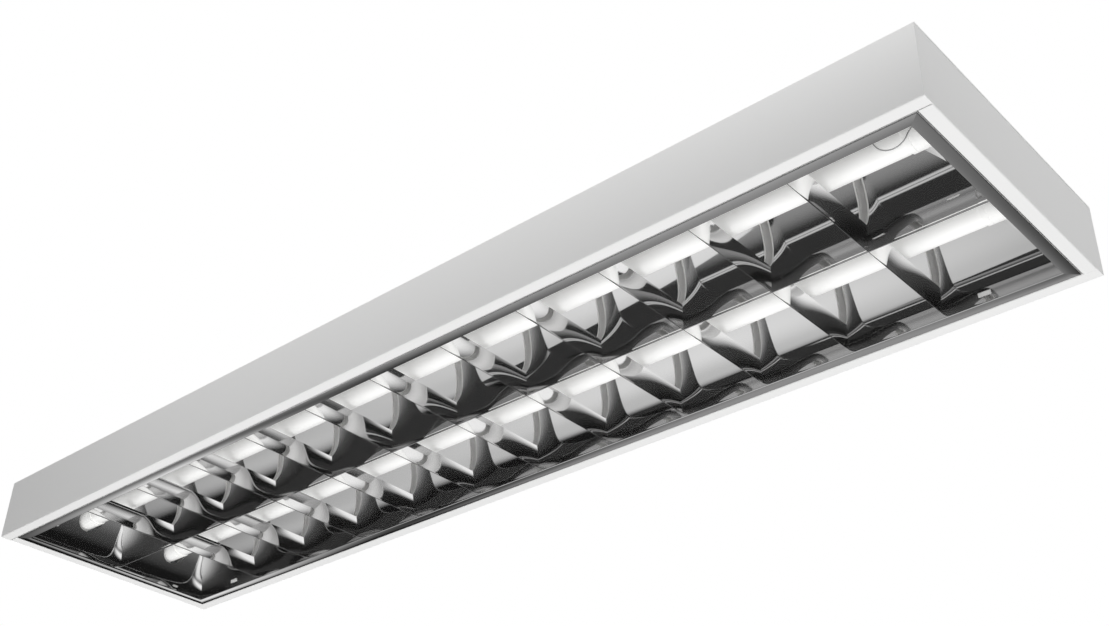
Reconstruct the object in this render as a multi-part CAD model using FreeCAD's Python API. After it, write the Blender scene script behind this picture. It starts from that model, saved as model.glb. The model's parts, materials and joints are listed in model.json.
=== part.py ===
import FreeCAD, Part
import math
import os

# Twin-tube ceiling light with a mirror louvre, millimetres.
# The origin is the centre of the ceiling face. +X runs along the light to its right end, -Y is its
# front long side and +Z points up into the ceiling, so everything lies below z = 0.
# Heights in this file are measured up from the rim plane and shifted down by rim_z when placed.

# --- housing: a folded steel tray closed by two end walls
length = 1240.0            # overall, along X
width = 300.0              # overall, along Y
height = 72.0              # ceiling face to rim
sheet = 0.7                # painted steel sheet
bend = 0.9                 # inside radius of the steel folds
lip = 13.0                 # flat rim folded inwards
lip_return = 8.0           # upstand along the inner edge of the rim
seam = 0.1                 # gap between two sheets that butt
rim_seam = 0.03            # the same, where the rim lips meet
end_flange = 14.0          # flange of an end wall under the top plate
fixing_inset = 170.0       # ceiling screws, from the end of the light
fixing_pitch_y = 160.0
fixing_hole_r = 3.0
entry_x = 190.0            # cable entry in the top plate
entry_hole_r = 10.0

# --- louvre: one bright aluminium unit that pulls down out of the housing
mirror = 0.5               # aluminium sheet
mirror_bend = 0.4
louvre_gap = 0.4           # louvre edge to the housing's upstand
band = 11.6                # flat outer band of the louvre
band_flange = 10.0         # upstand along the outer edge of the band
mirror_slope = 0.10        # lean of the mirrors at the foot
mirror_focus = 24.0        # focal length of the parabolic mirrors
mirror_start = 1.0         # height where a side mirror starts to curve
mirror_top = 55.0          # height of the mirrors' upper edges
fold_height = 4.2          # height of the lower fold of the centre mirror and the blades
mitre_gap = 0.05
blade_count = 11
end_cell = 136.5           # end of the light to the first blade
blade_sheet = 0.4
blade_slope = 0.03         # the faces of a blade lean and curve too
blade_focus = 30.0
blade_height = 22.0
blade_hem = 1.3            # lip turned in at the top of a blade
slot_clear = 0.15
notch_r = 17.0             # notch of an end mirror round a tube

# --- louvre springs
clip_inset = 95.0          # end of the light to each spring
clip_width = 12.0
clip_strip = 0.4
clip_tongue = 4.0          # bright tongue on the inner face of the mirror
clip_slot_clear = 0.3
clip_height = 10.6         # upper end of the tongue above the rim
clip_touch = 0.1           # spring leg to the housing's upstand

# --- tubes and their holders
tube_spacing = 125.0       # between the two tube axes
tube_axis_height = 45.4
tube_inset = 20.3          # end of the light to a cap face
tube_r = 12.8
tube_wall = 0.8
cap_r = 13.6
cap_length = 38.0
cap_floor = 3.0
cap_fit = 0.05
cap_round = 1.2
pin_r = 1.175
pin_pitch = 12.7
pin_out = 7.1
pin_root = 2.0
holder_gap = 0.3           # cap face to holder face
holder_width = 26.0
holder_depth = 18.2
holder_round_r = 14.5
rotor_r = 9.0
rotor_fit = 0.05
rotor_depth = 9.0
rotor_slot = 2.6
entry_slot = 3.0
bracket_width = 190.0
bracket_drop = 46.0
bracket_foot = 24.0
screw_r = 1.9
screw_head_r = 3.6
screw_head = 2.2
screw_fit = 0.1
screw_slot = 0.8           # width of the slot in a screw head
screw_slot_r = 2.4
screw_slot_depth = 1.0

# --- supply
ballast_length = 360.0
ballast_width = 30.0
ballast_height = 21.0
ballast_x = -60.0          # middle of the ballast
ballast_wall = 0.6
ballast_foot = 12.0
ballast_round = 1.5
socket_length = 14.0
socket_width = 22.0
socket_height = 12.0
socket_pitch = 5.0
socket_hole = 4.0          # depth of the hole for a lead
lead_in = 3.0              # how far a lead goes in
board_sheet = 1.6          # circuit board
board_gap = 1.0            # board to socket
board_side_gap = 0.2
board_parts = ((30, 18, 14), (24, 20, 15), (40, 12, 10), (18, 18, 12))   # length, width, height
board_first = 40.0         # board's end to its first part
board_step = 70.0          # from part to part
block_length = 22.0
block_width = 30.0
block_height = 15.0
block_gap = 24.0           # cable entry to terminal block
block_pitch = 10.0
block_wire = 7.0           # top plate to the wire holes
block_wire_in = 4.0        # how far a wire goes in
block_wire_gap = 0.3
block_screw_r = 2.0
block_screw_gap = 0.1
block_screw_inset = 6.6    # block's end to a clamp screw
block_screw_sink = 1.5     # screw head below the block's face
block_screw_bite = 1.5     # end of a clamp screw below the wires' axis
washer_r = 5.0
washer = 1.0
grommet_bore_r = 5.0
grommet_flange_r = 13.0
grommet_flange = 2.0
earth_gap = 45.0           # terminal block to earth screw
wire_r = 1.1
lead_r = 1.4
wire_bend = 9.0
wire_drop = 4.0            # top plate to the axis of a lead
lane_gap = 6.0             # ballast to the lane of the short leads
lane_pitch = 4.0           # from lane to lane
saddle_sheet = 1.2         # lead saddles
saddle_half = 3.0
saddle_room = 8.4          # inside width
saddle_leg = 1.8
saddle_gap = 0.3
saddle_side = 8.0          # ballast to the middle of a saddle
saddle_count = 9
saddle_pitch = 125.0
saddle_shift = 35.0

# --- safety cords
cord_r = 0.6
cord_hole_r = 1.3
cord_hole_height = 23.6
cord_hole_y = 50.0         # rim edge to the hole in an end mirror
hook_r = 3.0
hook_depth = 4.0
hook_y = 44.0              # rim edge to a hook
hook_height = 58.0
knot_r = 1.6
knot_gap = 0.8             # mirror face to a knot
knot_height = 33.0

rim_z = -height
half_length = length / 2
half_width = width / 2
tube_half = half_length - tube_inset
clip_reach = half_length - clip_inset         # middle of the light to each spring
fixing_x = half_length - fixing_inset
plate_z = -sheet                              # underside of the top plate
foot_inset = lip + louvre_gap + band          # rim edge to the foot of a side mirror
louvre_x = half_length - lip - louvre_gap     # half size of the louvre
louvre_y = half_width - lip - louvre_gap
axis_z = rim_z + tube_axis_height
holder_face = tube_half + holder_gap
bracket_x = holder_face + holder_depth        # inner face of the bracket's upright

ROWS = {"front": -tube_spacing / 2, "back": tube_spacing / 2}
ENDS = {"left": -1, "right": 1}


def vec(x, y, z):
    return FreeCAD.Vector(x, y, z)


def box(x0, x1, y0, y1, z0, z1):
    return Part.makeBox(x1 - x0, y1 - y0, z1 - z0, vec(x0, y0, z0))


def rod(start, direction, r, long):
    return Part.makeCylinder(r, long, start, direction)


def save(name, shape):
    shape.exportStep("parts/%s.step" % name)
    count = len(shape.Solids)
    print("%-24s volume %10.1f  solids %d  valid %s" % (name, shape.Volume, count, shape.isValid()))


def clean(shape):
    """The shape with the seams between flush faces removed."""
    return shape.removeSplitter()


def at_end(shape, sign):
    """A shape made for the right end, turned half a circle about Z for the left end."""
    placed = shape.copy()
    if sign < 0:
        placed.rotate(vec(0, 0, 0), vec(0, 0, 1), 180)
    return placed


def corner(before, point, after, radius):
    """Centre, touching points and middle direction of a round fold at a point."""
    back = (before - point).normalize()
    ahead = (after - point).normalize()
    half = back.getAngle(ahead) / 2
    middle = (back + ahead).normalize()
    centre = point + middle * (radius / math.sin(half))
    first = point + back * (radius / math.tan(half))
    last = point + ahead * (radius / math.tan(half))
    return centre, first, last


def fold_side(points, normals, offset, radius):
    """Edges along one face of a folded sheet whose middle line is given."""
    edges = []
    start = points[0] + normals[0] * offset
    for i in range(1, len(points) - 1):
        centre, first, last = corner(points[i - 1], points[i], points[i + 1], radius)
        outward = (first - centre).normalize()
        grow = offset if outward.dot(normals[i - 1]) > 0 else -offset
        far = radius + grow
        a = centre + outward * far
        c = centre + (last - centre).normalize() * far
        b = centre + (points[i] - centre).normalize() * far
        edges.append(Part.makeLine(start, a))
        edges.append(Part.Arc(a, b, c).toShape())
        start = c
    edges.append(Part.makeLine(start, points[-1] + normals[-1] * offset))
    return edges


def folded(outline, thickness, inside, depth):
    """Sheet folded along a middle line of (y, height) points, run along X from 0 to depth."""
    points = [vec(0, y, z) for y, z in outline]
    normals = []
    for a, b in zip(points, points[1:]):
        along = (b - a).normalize()
        normals.append(vec(0, -along.z, along.y))
    normals.append(normals[-1])
    radius = inside + thickness / 2
    left = fold_side(points, normals, thickness / 2, radius)
    right = fold_side(points, normals, -thickness / 2, radius)
    caps = [Part.makeLine(left[0].Vertexes[0].Point, right[0].Vertexes[0].Point),
            Part.makeLine(left[-1].Vertexes[-1].Point, right[-1].Vertexes[-1].Point)]
    wire = Part.Wire(Part.__sortEdges__(left + right + caps))
    return Part.Face(wire).extrude(vec(depth, 0, 0))


def reach(slope, focus, start, at):
    """How far a leaning parabola stands out at a height above its start."""
    rise = at - start
    return slope * rise + rise * rise / (4 * focus)


def parabola(slope, focus, start, shift, low, high, sign):
    """Edge of a leaning parabola in the YZ plane: y = sign * (reach + shift)."""
    first = reach(slope, focus, start, low)
    last = reach(slope, focus, start, high)
    steep = slope + (low - start) / (2 * focus)
    middle = first + steep * (high - low) / 2
    poles = [vec(0, sign * (first + shift), low),
             vec(0, sign * (middle + shift), (low + high) / 2),
             vec(0, sign * (last + shift), high)]
    curve = Part.BezierCurve()
    curve.setPoles(poles)
    return curve.toShape()


def strip_between(edge_a, edge_b, depth):
    """Solid between two edges that run the same way, along X from 0 to depth."""
    ends = [Part.makeLine(edge_a.valueAt(edge_a.FirstParameter), edge_b.valueAt(edge_b.FirstParameter)),
            Part.makeLine(edge_a.valueAt(edge_a.LastParameter), edge_b.valueAt(edge_b.LastParameter))]
    wire = Part.Wire(Part.__sortEdges__([edge_a, edge_b] + ends))
    return Part.Face(wire).extrude(vec(depth, 0, 0))


# --- housing

def tray():
    """Top plate, long walls, rim lips and upstands folded from one sheet."""
    t = sheet / 2
    edge = half_width - t
    inner = half_width - lip + t
    top = height - t
    line = [(-inner, sheet + lip_return), (-inner, t), (-edge, t), (-edge, top),
            (edge, top), (edge, t), (inner, t), (inner, sheet + lip_return)]
    body = folded(line, sheet, bend, length)
    body.translate(vec(-half_length, 0, rim_z))
    for sign in (-1, 1):
        body = body.cut(return_relief(sign))
    for x in (-fixing_x, fixing_x):
        for y in (-fixing_pitch_y / 2, fixing_pitch_y / 2):
            body = body.cut(through_plate(x, y, fixing_hole_r))
    body = body.cut(through_plate(entry_x, 0, entry_hole_r))
    for x, y in plate_screws():
        body = body.cut(through_plate(x, y, screw_r + screw_fit))
    return body


def return_relief(sign):
    """Room at one end of the long upstands for the end wall and its own upstand."""
    near = half_length - lip - seam
    x0, x1 = (near, half_length + 1) if sign > 0 else (-half_length - 1, -near)
    low, high = rim_z + sheet, rim_z + height / 2
    inner = half_width - lip - bend - sheet - 1
    outer = half_width - lip + bend + 2 * sheet
    front = box(x0, x1, -outer, -inner, low, high)
    return front.fuse(box(x0, x1, inner, outer, low, high))


def through_plate(x, y, r):
    return rod(vec(x, y, plate_z - 1), vec(0, 0, 1), r, sheet + 2)


def end_wall():
    """Right end wall with its rim lip, upstand and top flange, between the long walls."""
    t = sheet / 2
    inner = lip - t
    top = height - sheet - t - seam
    line = [(inner, sheet + lip_return), (inner, t), (t, t), (t, top), (end_flange, top)]
    span = width - 2 * (sheet + seam)
    wall = folded(line, sheet, bend, span)
    wall.rotate(vec(0, 0, 0), vec(0, 0, 1), 90)
    wall.translate(vec(half_length, -span / 2, rim_z))
    wall = wall.common(wall_room(span))
    for x, y in bracket_screws_at():
        if x > 0:
            wall = wall.cut(rod(vec(x, y, rim_z + height / 2), vec(0, 0, 1), screw_r + screw_fit, height))
    return wall


def wall_room(span):
    """Space an end wall has inside the folds of the tray, with its lip between the tray's lips."""
    x0, x1 = half_length - end_flange - 1, half_length + 1
    inside = box(x0, x1, -span / 2, span / 2, rim_z + sheet + seam, plate_z - seam / 2)
    rounds = [e for e in inside.Edges if abs(e.CenterOfMass.x - (x0 + x1) / 2) < 0.01]
    inside = inside.makeFillet(bend + seam, rounds)
    for sign in (-1, 1):
        y0, y1 = sorted((sign * (half_width - lip - rim_seam), sign * half_width))
        inside = inside.cut(box(x0, half_length - sheet - bend - 1, y0, y1, rim_z, rim_z + lip + bend))
    between = half_width - lip - rim_seam
    return inside.fuse(box(x0, x1, -between, between, rim_z, rim_z + lip))


# --- louvre

def side_mirror(run):
    """Mirror along -Y of a louvre: outer upstand, flat band and parabolic mirror, mitred at both ends."""
    t = mirror / 2
    tilt = math.atan(mirror_slope)
    foot = band - t * (1 - math.sin(tilt)) / math.cos(tilt)
    line = [(t, band_flange), (t, t), (foot, t), (foot + mirror_slope * (mirror_start - t), mirror_start)]
    skirt = folded(line, mirror, mirror_bend, run)
    start = band + mirror_slope * mirror_start
    faces = []
    for shift in (start - mirror / math.cos(tilt), start):
        faces.append(parabola(mirror_slope, mirror_focus, mirror_start, shift, mirror_start, mirror_top, 1))
    shape = clean(skirt.fuse(strip_between(faces[0], faces[1], run)))
    shape.translate(vec(-run / 2, 0, 0))
    return shape.common(mitre(run))


def mitre(run):
    """Plan of one side of the louvre, with 45 degree ends."""
    deep = run / 2 if run < 2 * louvre_y + 1 else louvre_y
    half = run / 2 - mitre_gap
    plan = [vec(-half, 0, -1), vec(half, 0, -1), vec(half - deep, deep, -1), vec(-half + deep, deep, -1)]
    if half - deep < seam:
        plan = plan[:2] + [vec(0, half, -1)]
    face = Part.Face(Part.makePolygon(plan + plan[:1]))
    return face.extrude(vec(0, 0, height + 2))


def louvre_side(name):
    """One of the two long mirrors, with a slot for each louvre spring."""
    shape = side_mirror(2 * louvre_x)
    shape.translate(vec(0, -louvre_y, rim_z))
    for sign in (-1, 1):
        shape = shape.cut(clip_window(sign))
    if name == "back":
        shape.rotate(vec(0, 0, 0), vec(0, 0, 1), 180)
    return shape


def clip_window(sign):
    """Slot in the front mirror for a spring's run, and the gap in its upstand for the leg."""
    x = sign * clip_reach
    half = clip_width / 2 + clip_slot_clear
    face = -half_width + mirror_face(clip_height)
    top = rim_z + clip_height + clip_slot_clear
    slot = box(x - half, x + half, face - 3 * mirror, face + 3 * mirror,
               top - clip_strip - 2 * clip_slot_clear, top)
    gap = box(x - half, x + half, -louvre_y - 1, -louvre_y + mirror + 1, rim_z + clip_height / 8, 0)
    return slot.fuse(gap)


def louvre_end():
    """Right end mirror with a notch, open at the top, round each tube."""
    shape = side_mirror(2 * louvre_y)
    shape.rotate(vec(0, 0, 0), vec(0, 0, 1), 90)
    shape.translate(vec(louvre_x, 0, rim_z))
    for y in ROWS.values():
        deep = 2 * foot_inset + mirror_top
        shape = shape.cut(rod(vec(louvre_x - deep, y, axis_z), vec(1, 0, 0), notch_r, 2 * deep))
        shape = shape.cut(box(louvre_x - deep, louvre_x + 1, y - notch_r, y + notch_r, axis_z, 0))
    return shape


def mirror_face(at):
    """Distance from the rim's outer edge to the bright face of a side mirror at a height."""
    return foot_inset + mirror_slope * mirror_start + reach(mirror_slope, mirror_focus, mirror_start, at)


def fold_start(slope, thickness):
    """Half width of a lower fold, and the height where its round runs out into the walls."""
    tilt = math.atan(slope)
    across = thickness / math.cos(tilt)
    radius = across / math.cos(tilt)
    return across, fold_height + radius * (1 - math.sin(tilt))


def vee(slope, focus, thickness, top, run):
    """Trough of two leaning parabolic walls, folded from one sheet, along X from 0 to run."""
    across, low = fold_start(slope, thickness)
    edges = []
    for sign in (-1, 1):
        outer = parabola(slope, focus, low, across, low, top, sign)
        inner = parabola(slope, focus, low, 0, low, top, sign)
        head = Part.makeLine(outer.valueAt(outer.LastParameter), inner.valueAt(inner.LastParameter))
        edges = edges + [outer, inner, head]
    fold = Part.Arc(vec(0, -across, low), vec(0, 0, fold_height), vec(0, across, low)).toShape()
    wire = Part.Wire(Part.__sortEdges__(edges + [fold]))
    return Part.Face(wire).extrude(vec(run, 0, 0))


def blade_places():
    first = end_cell - half_length
    pitch = -2 * first / (blade_count - 1)
    return [first + i * pitch for i in range(blade_count)]


def blade_plug(x):
    """Filled outline of a blade, a little larger, that cuts its slot in the centre mirror."""
    across, low = fold_start(blade_slope, blade_sheet)
    top = fold_height + blade_height + slot_clear
    wide = across + slot_clear
    half = mirror + reach(mirror_slope, mirror_focus, fold_height, top) + 2
    sides = [parabola(blade_slope, blade_focus, low, wide, low, top, sign) for sign in (-1, 1)]
    plug = strip_between(sides[0], sides[1], 2 * half)
    plug = plug.fuse(box(0, 2 * half, -wide, wide, 0, low))
    plug.rotate(vec(0, 0, 0), vec(0, 0, 1), 90)
    plug.translate(vec(x, -half, rim_z))
    return plug


def centre_mirror():
    run = 2 * (half_length - foot_inset)
    shape = vee(mirror_slope, mirror_focus, mirror, mirror_top, run)
    shape.translate(vec(-run / 2, 0, rim_z))
    for x in blade_places():
        shape = shape.cut(blade_plug(x))
    for sign in (-1, 1):
        shape = shape.cut(at_end(outside_mirror(half_length, width), sign))
    return shape


def outside_mirror(edge, span):
    """All that lies outside an end mirror's inner face, for trimming what meets it."""
    start = mirror_face(mirror_start) + seam
    over = mirror_top + 5
    inner = parabola(mirror_slope, mirror_focus, mirror_start, start, mirror_start, over, 1)
    a = inner.valueAt(inner.FirstParameter)
    b = inner.valueAt(inner.LastParameter)
    far = vec(0, -5, over)
    base = [vec(0, -5, -1), vec(0, start, -1)]
    lines = [Part.makeLine(base[0], base[1]), Part.makeLine(base[1], a),
             Part.makeLine(b, far), Part.makeLine(far, base[0])]
    face = Part.Face(Part.Wire(Part.__sortEdges__(lines + [inner])))
    solid = face.extrude(vec(span, 0, 0))
    solid.rotate(vec(0, 0, 0), vec(0, 0, 1), 90)
    solid.translate(vec(edge, -span / 2, rim_z))
    return solid


def blade_form():
    """Cross blade at x = 0: a trough with hems, its ends cut to the side mirrors."""
    top = fold_height + blade_height
    run = 2 * (half_width - foot_inset)
    shape = vee(blade_slope, blade_focus, blade_sheet, top, run)
    across, low = fold_start(blade_slope, blade_sheet)
    half = across + reach(blade_slope, blade_focus, low, top)
    for sign in (-1, 1):
        y0, y1 = sorted((sign * (half - blade_sheet), sign * (half - blade_hem)))
        shape = shape.fuse(box(0, run, y0, y1, top - blade_sheet, top))
    shape = clean(shape)
    shape.rotate(vec(0, 0, 0), vec(0, 0, 1), 90)
    shape.translate(vec(0, -run / 2, rim_z))
    for turn in (90, -90):
        room = outside_mirror(half_width, 4 * clip_width)
        room.rotate(vec(0, 0, 0), vec(0, 0, 1), turn)
        shape = shape.cut(room)
    return shape


def spring_line():
    """Middle line of the spring on the back side: tongue, run through the mirror's slot, bowed leg."""
    t = clip_strip
    run = clip_height - t / 2
    low = clip_height - clip_tongue
    inset = seam + t / 2 * math.hypot(1, 2 * mirror_slope)
    bow = half_width - lip - clip_touch - t / 2
    back = louvre_y - mirror / 2
    foot = half_width - mirror_face(low) - inset
    head = half_width - mirror_face(clip_height) - inset
    return [(foot, low), (head, run), (back, run), (bow, clip_height / 2), (back, clip_height / 4)]


def louvre_springs():
    """The four louvre springs."""
    one = folded(spring_line(), clip_strip, clip_strip / 2, clip_width)
    one.translate(vec(-clip_width / 2, 0, rim_z))
    springs = []
    for sign in (-1, 1):
        for turn in (0, 180):
            copy = one.copy()
            copy.translate(vec(sign * clip_reach, 0, 0))
            copy.rotate(vec(0, 0, 0), vec(0, 0, 1), turn)
            springs.append(copy)
    return Part.makeCompound(springs)


# --- tubes and holders

def tube_glass(y):
    """Frosted glass, its ends inside the caps."""
    half = tube_half - cap_floor
    start = vec(-half, y, axis_z)
    return rod(start, vec(1, 0, 0), tube_r, 2 * half).cut(
        rod(start - vec(1, 0, 0), vec(1, 0, 0), tube_r - tube_wall, 2 * half + 2))


def tube_cap(y):
    """Right cap of a tube, a cup with a round outer edge."""
    start = vec(tube_half - cap_length, y, axis_z)
    cup = rod(start, vec(1, 0, 0), cap_r, cap_length)
    rim = [e for e in cup.Edges if abs(e.CenterOfMass.x - tube_half) < 0.01 and len(e.Vertexes) == 1]
    cup = cup.makeFillet(cap_round, rim)
    cup = cup.cut(rod(start - vec(1, 0, 0), vec(1, 0, 0), tube_r + cap_fit, cap_length - cap_floor + 1))
    for side in (-1, 1):
        hole = vec(tube_half - pin_root, y + side * pin_pitch / 2, axis_z)
        cup = cup.cut(rod(hole, vec(1, 0, 0), pin_r, pin_root + 1))
    return cup


def tube_pins(y):
    """The four contact pins of a tube."""
    pins = []
    for sign in ENDS.values():
        for side in (-1, 1):
            start = vec(sign * (tube_half - pin_root), y + side * pin_pitch / 2, axis_z)
            pin = rod(start, vec(sign, 0, 0), pin_r, pin_root + pin_out)
            tip = [e for e in pin.Edges if abs(abs(e.CenterOfMass.x) - tube_half - pin_out) < 0.01
                   and len(e.Vertexes) == 1]
            pins.append(pin.makeFillet(pin_r * 0.6, tip))
    return Part.makeCompound(pins)


def holder(y):
    """Right lamp holder: a rounded block with the rotor's bore and the slot where the pins go in."""
    half = holder_width / 2
    top = rim_z + height - 2 * sheet - seam
    body = box(holder_face, bracket_x, y - half, y + half, axis_z, top - sheet)
    body = clean(body.fuse(rod(vec(holder_face, y, axis_z), vec(1, 0, 0), holder_round_r, holder_depth)))
    heel = [e for e in body.Edges if abs(e.CenterOfMass.z - body.BoundBox.ZMax) < 0.01
            and abs(e.CenterOfMass.x - bracket_x) < 0.01]
    body = body.makeFillet(bend + seam, heel)
    body = body.cut(rod(vec(holder_face - 1, y, axis_z), vec(1, 0, 0), rotor_r, rotor_depth + 1))
    slot = box(holder_face - 1, holder_face + rotor_depth, y - entry_slot / 2, y + entry_slot / 2,
               axis_z - 2 * holder_round_r, axis_z)
    return body.cut(slot)


def rotor(y):
    """Right rotor: a disc with a slot that takes the two pins, turned to the locked position."""
    r = rotor_r - rotor_fit
    disc = rod(vec(holder_face, y, axis_z), vec(1, 0, 0), r, rotor_depth - rotor_fit)
    slot = box(holder_face - 1, tube_half + pin_out + holder_gap, y - rotor_r, y + rotor_r,
               axis_z - rotor_slot / 2, axis_z + rotor_slot / 2)
    return disc.cut(slot)


def bracket_screws_at():
    """Places of the screws that hold the two brackets under the top plate."""
    x = half_length - end_flange / 2
    y = bracket_width / 2 - end_flange
    return [(sx * x, sy * y) for sx in (-1, 1) for sy in (-1, 1)]


def ballast_screws_at():
    away = ballast_length / 2 + ballast_foot / 2
    return [(ballast_x - away, 0), (ballast_x + away, 0)]


def block_x():
    return entry_x + block_gap + block_length / 2


def earth_x():
    return block_x() + earth_gap


def plate_screws():
    """Every screw that ends in the top plate."""
    return bracket_screws_at() + ballast_screws_at() + [(earth_x(), 0)]


def bracket():
    """Right bracket: an upright behind the holders and a foot under the end wall's flange."""
    t = sheet / 2
    top = height - 2 * sheet - seam - t
    line = [(0, top - bracket_drop), (0, top), (bracket_foot, top)]
    shape = folded(line, sheet, bend, bracket_width)
    shape.rotate(vec(0, 0, 0), vec(0, 0, 1), 90)
    shape.translate(vec(bracket_x + t, -bracket_width / 2, rim_z))
    for x, y in bracket_screws_at():
        if x > 0:
            shape = shape.cut(rod(vec(x, y, axis_z), vec(0, 0, 1), screw_r + screw_fit, height))
    return shape


def screw(x, y, seat):
    """Pan head screw from below, its head under the given height and its end level with the top plate."""
    head = rod(vec(x, y, seat - screw_head), vec(0, 0, 1), screw_head_r, screw_head)
    rim = [e for e in head.Edges if abs(e.CenterOfMass.z - seat + screw_head) < 0.01 and len(e.Vertexes) == 1]
    head = head.makeFillet(screw_head / 2, rim)
    shank = rod(vec(x, y, seat), vec(0, 0, 1), screw_r, -seat - seam)
    face = seat - screw_head
    half = screw_slot / 2
    slot = box(x - screw_slot_r, x + screw_slot_r, y - half, y + half, face - 1, face + screw_slot_depth)
    return clean(head.fuse(shank)).cut(slot)


def bracket_screws():
    seat = plate_z - 2 * sheet - seam
    return Part.makeCompound([screw(x, y, seat) for x, y in bracket_screws_at()])


# --- supply

def ballast_case():
    """Trough of the ballast with a fixing foot at each end."""
    half = ballast_length / 2
    x0, x1 = ballast_x - half, ballast_x + half
    w = ballast_width / 2
    low = plate_z - ballast_height
    body = box(x0, x1, -w, w, low, plate_z)
    under = [e for e in body.Edges if abs(e.CenterOfMass.z - low) < 0.01]
    long_edges = [e for e in under if abs(abs(e.CenterOfMass.y) - w) < 0.01]
    body = body.makeFillet(ballast_round, long_edges)
    inside = w - ballast_wall
    body = body.cut(box(x0 - 1, x1 + 1, -inside, inside, ballast_floor(), plate_z - ballast_wall))
    for sign in (-1, 1):
        foot = box(0, ballast_foot, -w / 2, w / 2, plate_z - ballast_wall, plate_z)
        foot.translate(vec(x1 if sign > 0 else x0 - ballast_foot, 0, 0))
        body = body.fuse(foot)
    body = clean(body)
    for x, y in ballast_screws_at():
        body = body.cut(rod(vec(x, y, plate_z - 2), vec(0, 0, 1), screw_r + screw_fit, 3))
    return body


def ballast_floor():
    """Height of the inside of the ballast's case."""
    return plate_z - ballast_height + ballast_wall


def socket_level():
    """Height of the axes of the leads in a ballast socket."""
    return ballast_floor() + socket_height / 2


def ballast_socket(sign):
    """Push-in terminal at one end of the ballast, filling the end of its case."""
    w = socket_width / 2
    low = ballast_floor()
    edge = ballast_x + sign * ballast_length / 2
    x0, x1 = sorted((edge, edge - sign * socket_length))
    body = box(x0, x1, -w, w, low, low + socket_height)
    for k in (-1.5, -0.5, 0.5, 1.5):
        start = vec(edge - sign * socket_hole, k * socket_pitch, socket_level())
        body = body.cut(rod(start, vec(sign, 0, 0), lead_r + cap_fit, socket_hole + 1))
    return body


def ballast_board():
    """Circuit board and parts inside the ballast."""
    half = ballast_length / 2 - socket_length - board_gap
    w = ballast_width / 2 - ballast_wall - board_side_gap
    low = ballast_floor()
    top = low + board_sheet
    board = box(ballast_x - half, ballast_x + half, -w, w, low, top)
    for k, (long, wide, tall) in enumerate(board_parts):
        x = ballast_x - half + board_first + k * board_step
        board = board.fuse(box(x, x + long, -wide / 2, wide / 2, top, top + tall))
    return clean(board)


def ballast_screws():
    seat = plate_z - ballast_wall
    return Part.makeCompound([screw(x, y, seat) for x, y in ballast_screws_at()])


def clamp_places():
    """Places of the clamp screws of the terminal block."""
    away = block_length / 2 - block_screw_inset
    return [(block_x() + side * away, k * block_pitch) for k in (-1, 0, 1) for side in (-1, 1)]


def terminal_block():
    """Three-way block for the supply, its wire holes facing the cable entry and the ballast."""
    x0 = block_x() - block_length / 2
    w = block_width / 2
    low = plate_z - block_height
    z = plate_z - block_wire
    body = box(x0, x0 + block_length, -w, w, low, plate_z)
    for k in (-1, 0, 1):
        hole = rod(vec(x0 - 1, k * block_pitch, z), vec(1, 0, 0), wire_r + block_wire_gap, block_length + 2)
        body = body.cut(hole)
    for x, y in clamp_places():
        body = body.cut(rod(vec(x, y, low - 1), vec(0, 0, 1), block_screw_r + block_screw_gap, z - low + 1))
    return body


def terminal_screws():
    """Clamp screws of the terminal block."""
    low = plate_z - block_height + block_screw_sink
    high = plate_z - block_wire - block_screw_bite
    half = screw_slot / 2
    screws = []
    for x, y in clamp_places():
        body = rod(vec(x, y, low), vec(0, 0, 1), block_screw_r, high - low)
        slot = box(x - screw_head_r, x + screw_head_r, y - half, y + half, low - 1, low + half)
        screws.append(body.cut(slot))
    return Part.makeCompound(screws)


def grommet():
    """Rubber grommet of the cable entry, below the ceiling face."""
    low = plate_z - grommet_flange
    body = rod(vec(entry_x, 0, low), vec(0, 0, 1), grommet_flange_r, grommet_flange)
    body = body.fuse(rod(vec(entry_x, 0, plate_z), vec(0, 0, 1), entry_hole_r - seam / 2, sheet))
    body = clean(body)
    rim = [e for e in body.Edges if abs(e.CenterOfMass.z - low) < 0.01 and len(e.Vertexes) == 1]
    body = body.makeFillet(grommet_flange / 3, rim)
    return body.cut(rod(vec(entry_x, 0, low - 1), vec(0, 0, 1), grommet_bore_r, 2 * height))


def earth_screw():
    """Earth screw with its washer under the top plate."""
    seat = plate_z - washer
    ring = rod(vec(earth_x(), 0, seat), vec(0, 0, 1), washer_r, washer)
    ring = ring.cut(rod(vec(earth_x(), 0, seat - 1), vec(0, 0, 1), screw_r + screw_fit, washer + 2))
    return Part.makeCompound([screw(earth_x(), 0, seat), ring])


def route(points, limit):
    """Wire of straight runs joined by tangent arcs, and the smallest arc radius."""
    edges = []
    least = 1e9
    start = points[0]
    for i in range(1, len(points) - 1):
        back = points[i - 1] - points[i]
        ahead = points[i + 1] - points[i]
        half = back.getAngle(ahead) / 2
        turn = math.pi / 2 - half
        radius = min(limit, 0.45 * min(back.Length, ahead.Length) / math.tan(turn))
        centre, first, last = corner(points[i - 1], points[i], points[i + 1], radius)
        middle = centre + (points[i] - centre).normalize() * radius
        edges.append(Part.LineSegment(start, first).toShape())
        edges.append(Part.Arc(first, middle, last).toShape())
        least = min(least, radius)
        start = last
    edges.append(Part.LineSegment(start, points[-1]).toShape())
    return Part.Wire(edges), least


def cable(name, points, r, limit):
    """Round cord along a route; its volume is compared with section times length."""
    wire, least = route(points, limit)
    ring = Part.Wire(Part.Circle(points[0], points[1] - points[0], r).toShape())
    tube = wire.makePipeShell([ring], True, False)
    ideal = math.pi * r * r * wire.Length
    ratio = tube.Volume / ideal
    print("%s: length %.1f  least radius %.1f  volume ratio %.3f" % (name, wire.Length, least, ratio))
    return tube


def wire_level():
    return plate_z - wire_drop


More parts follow.
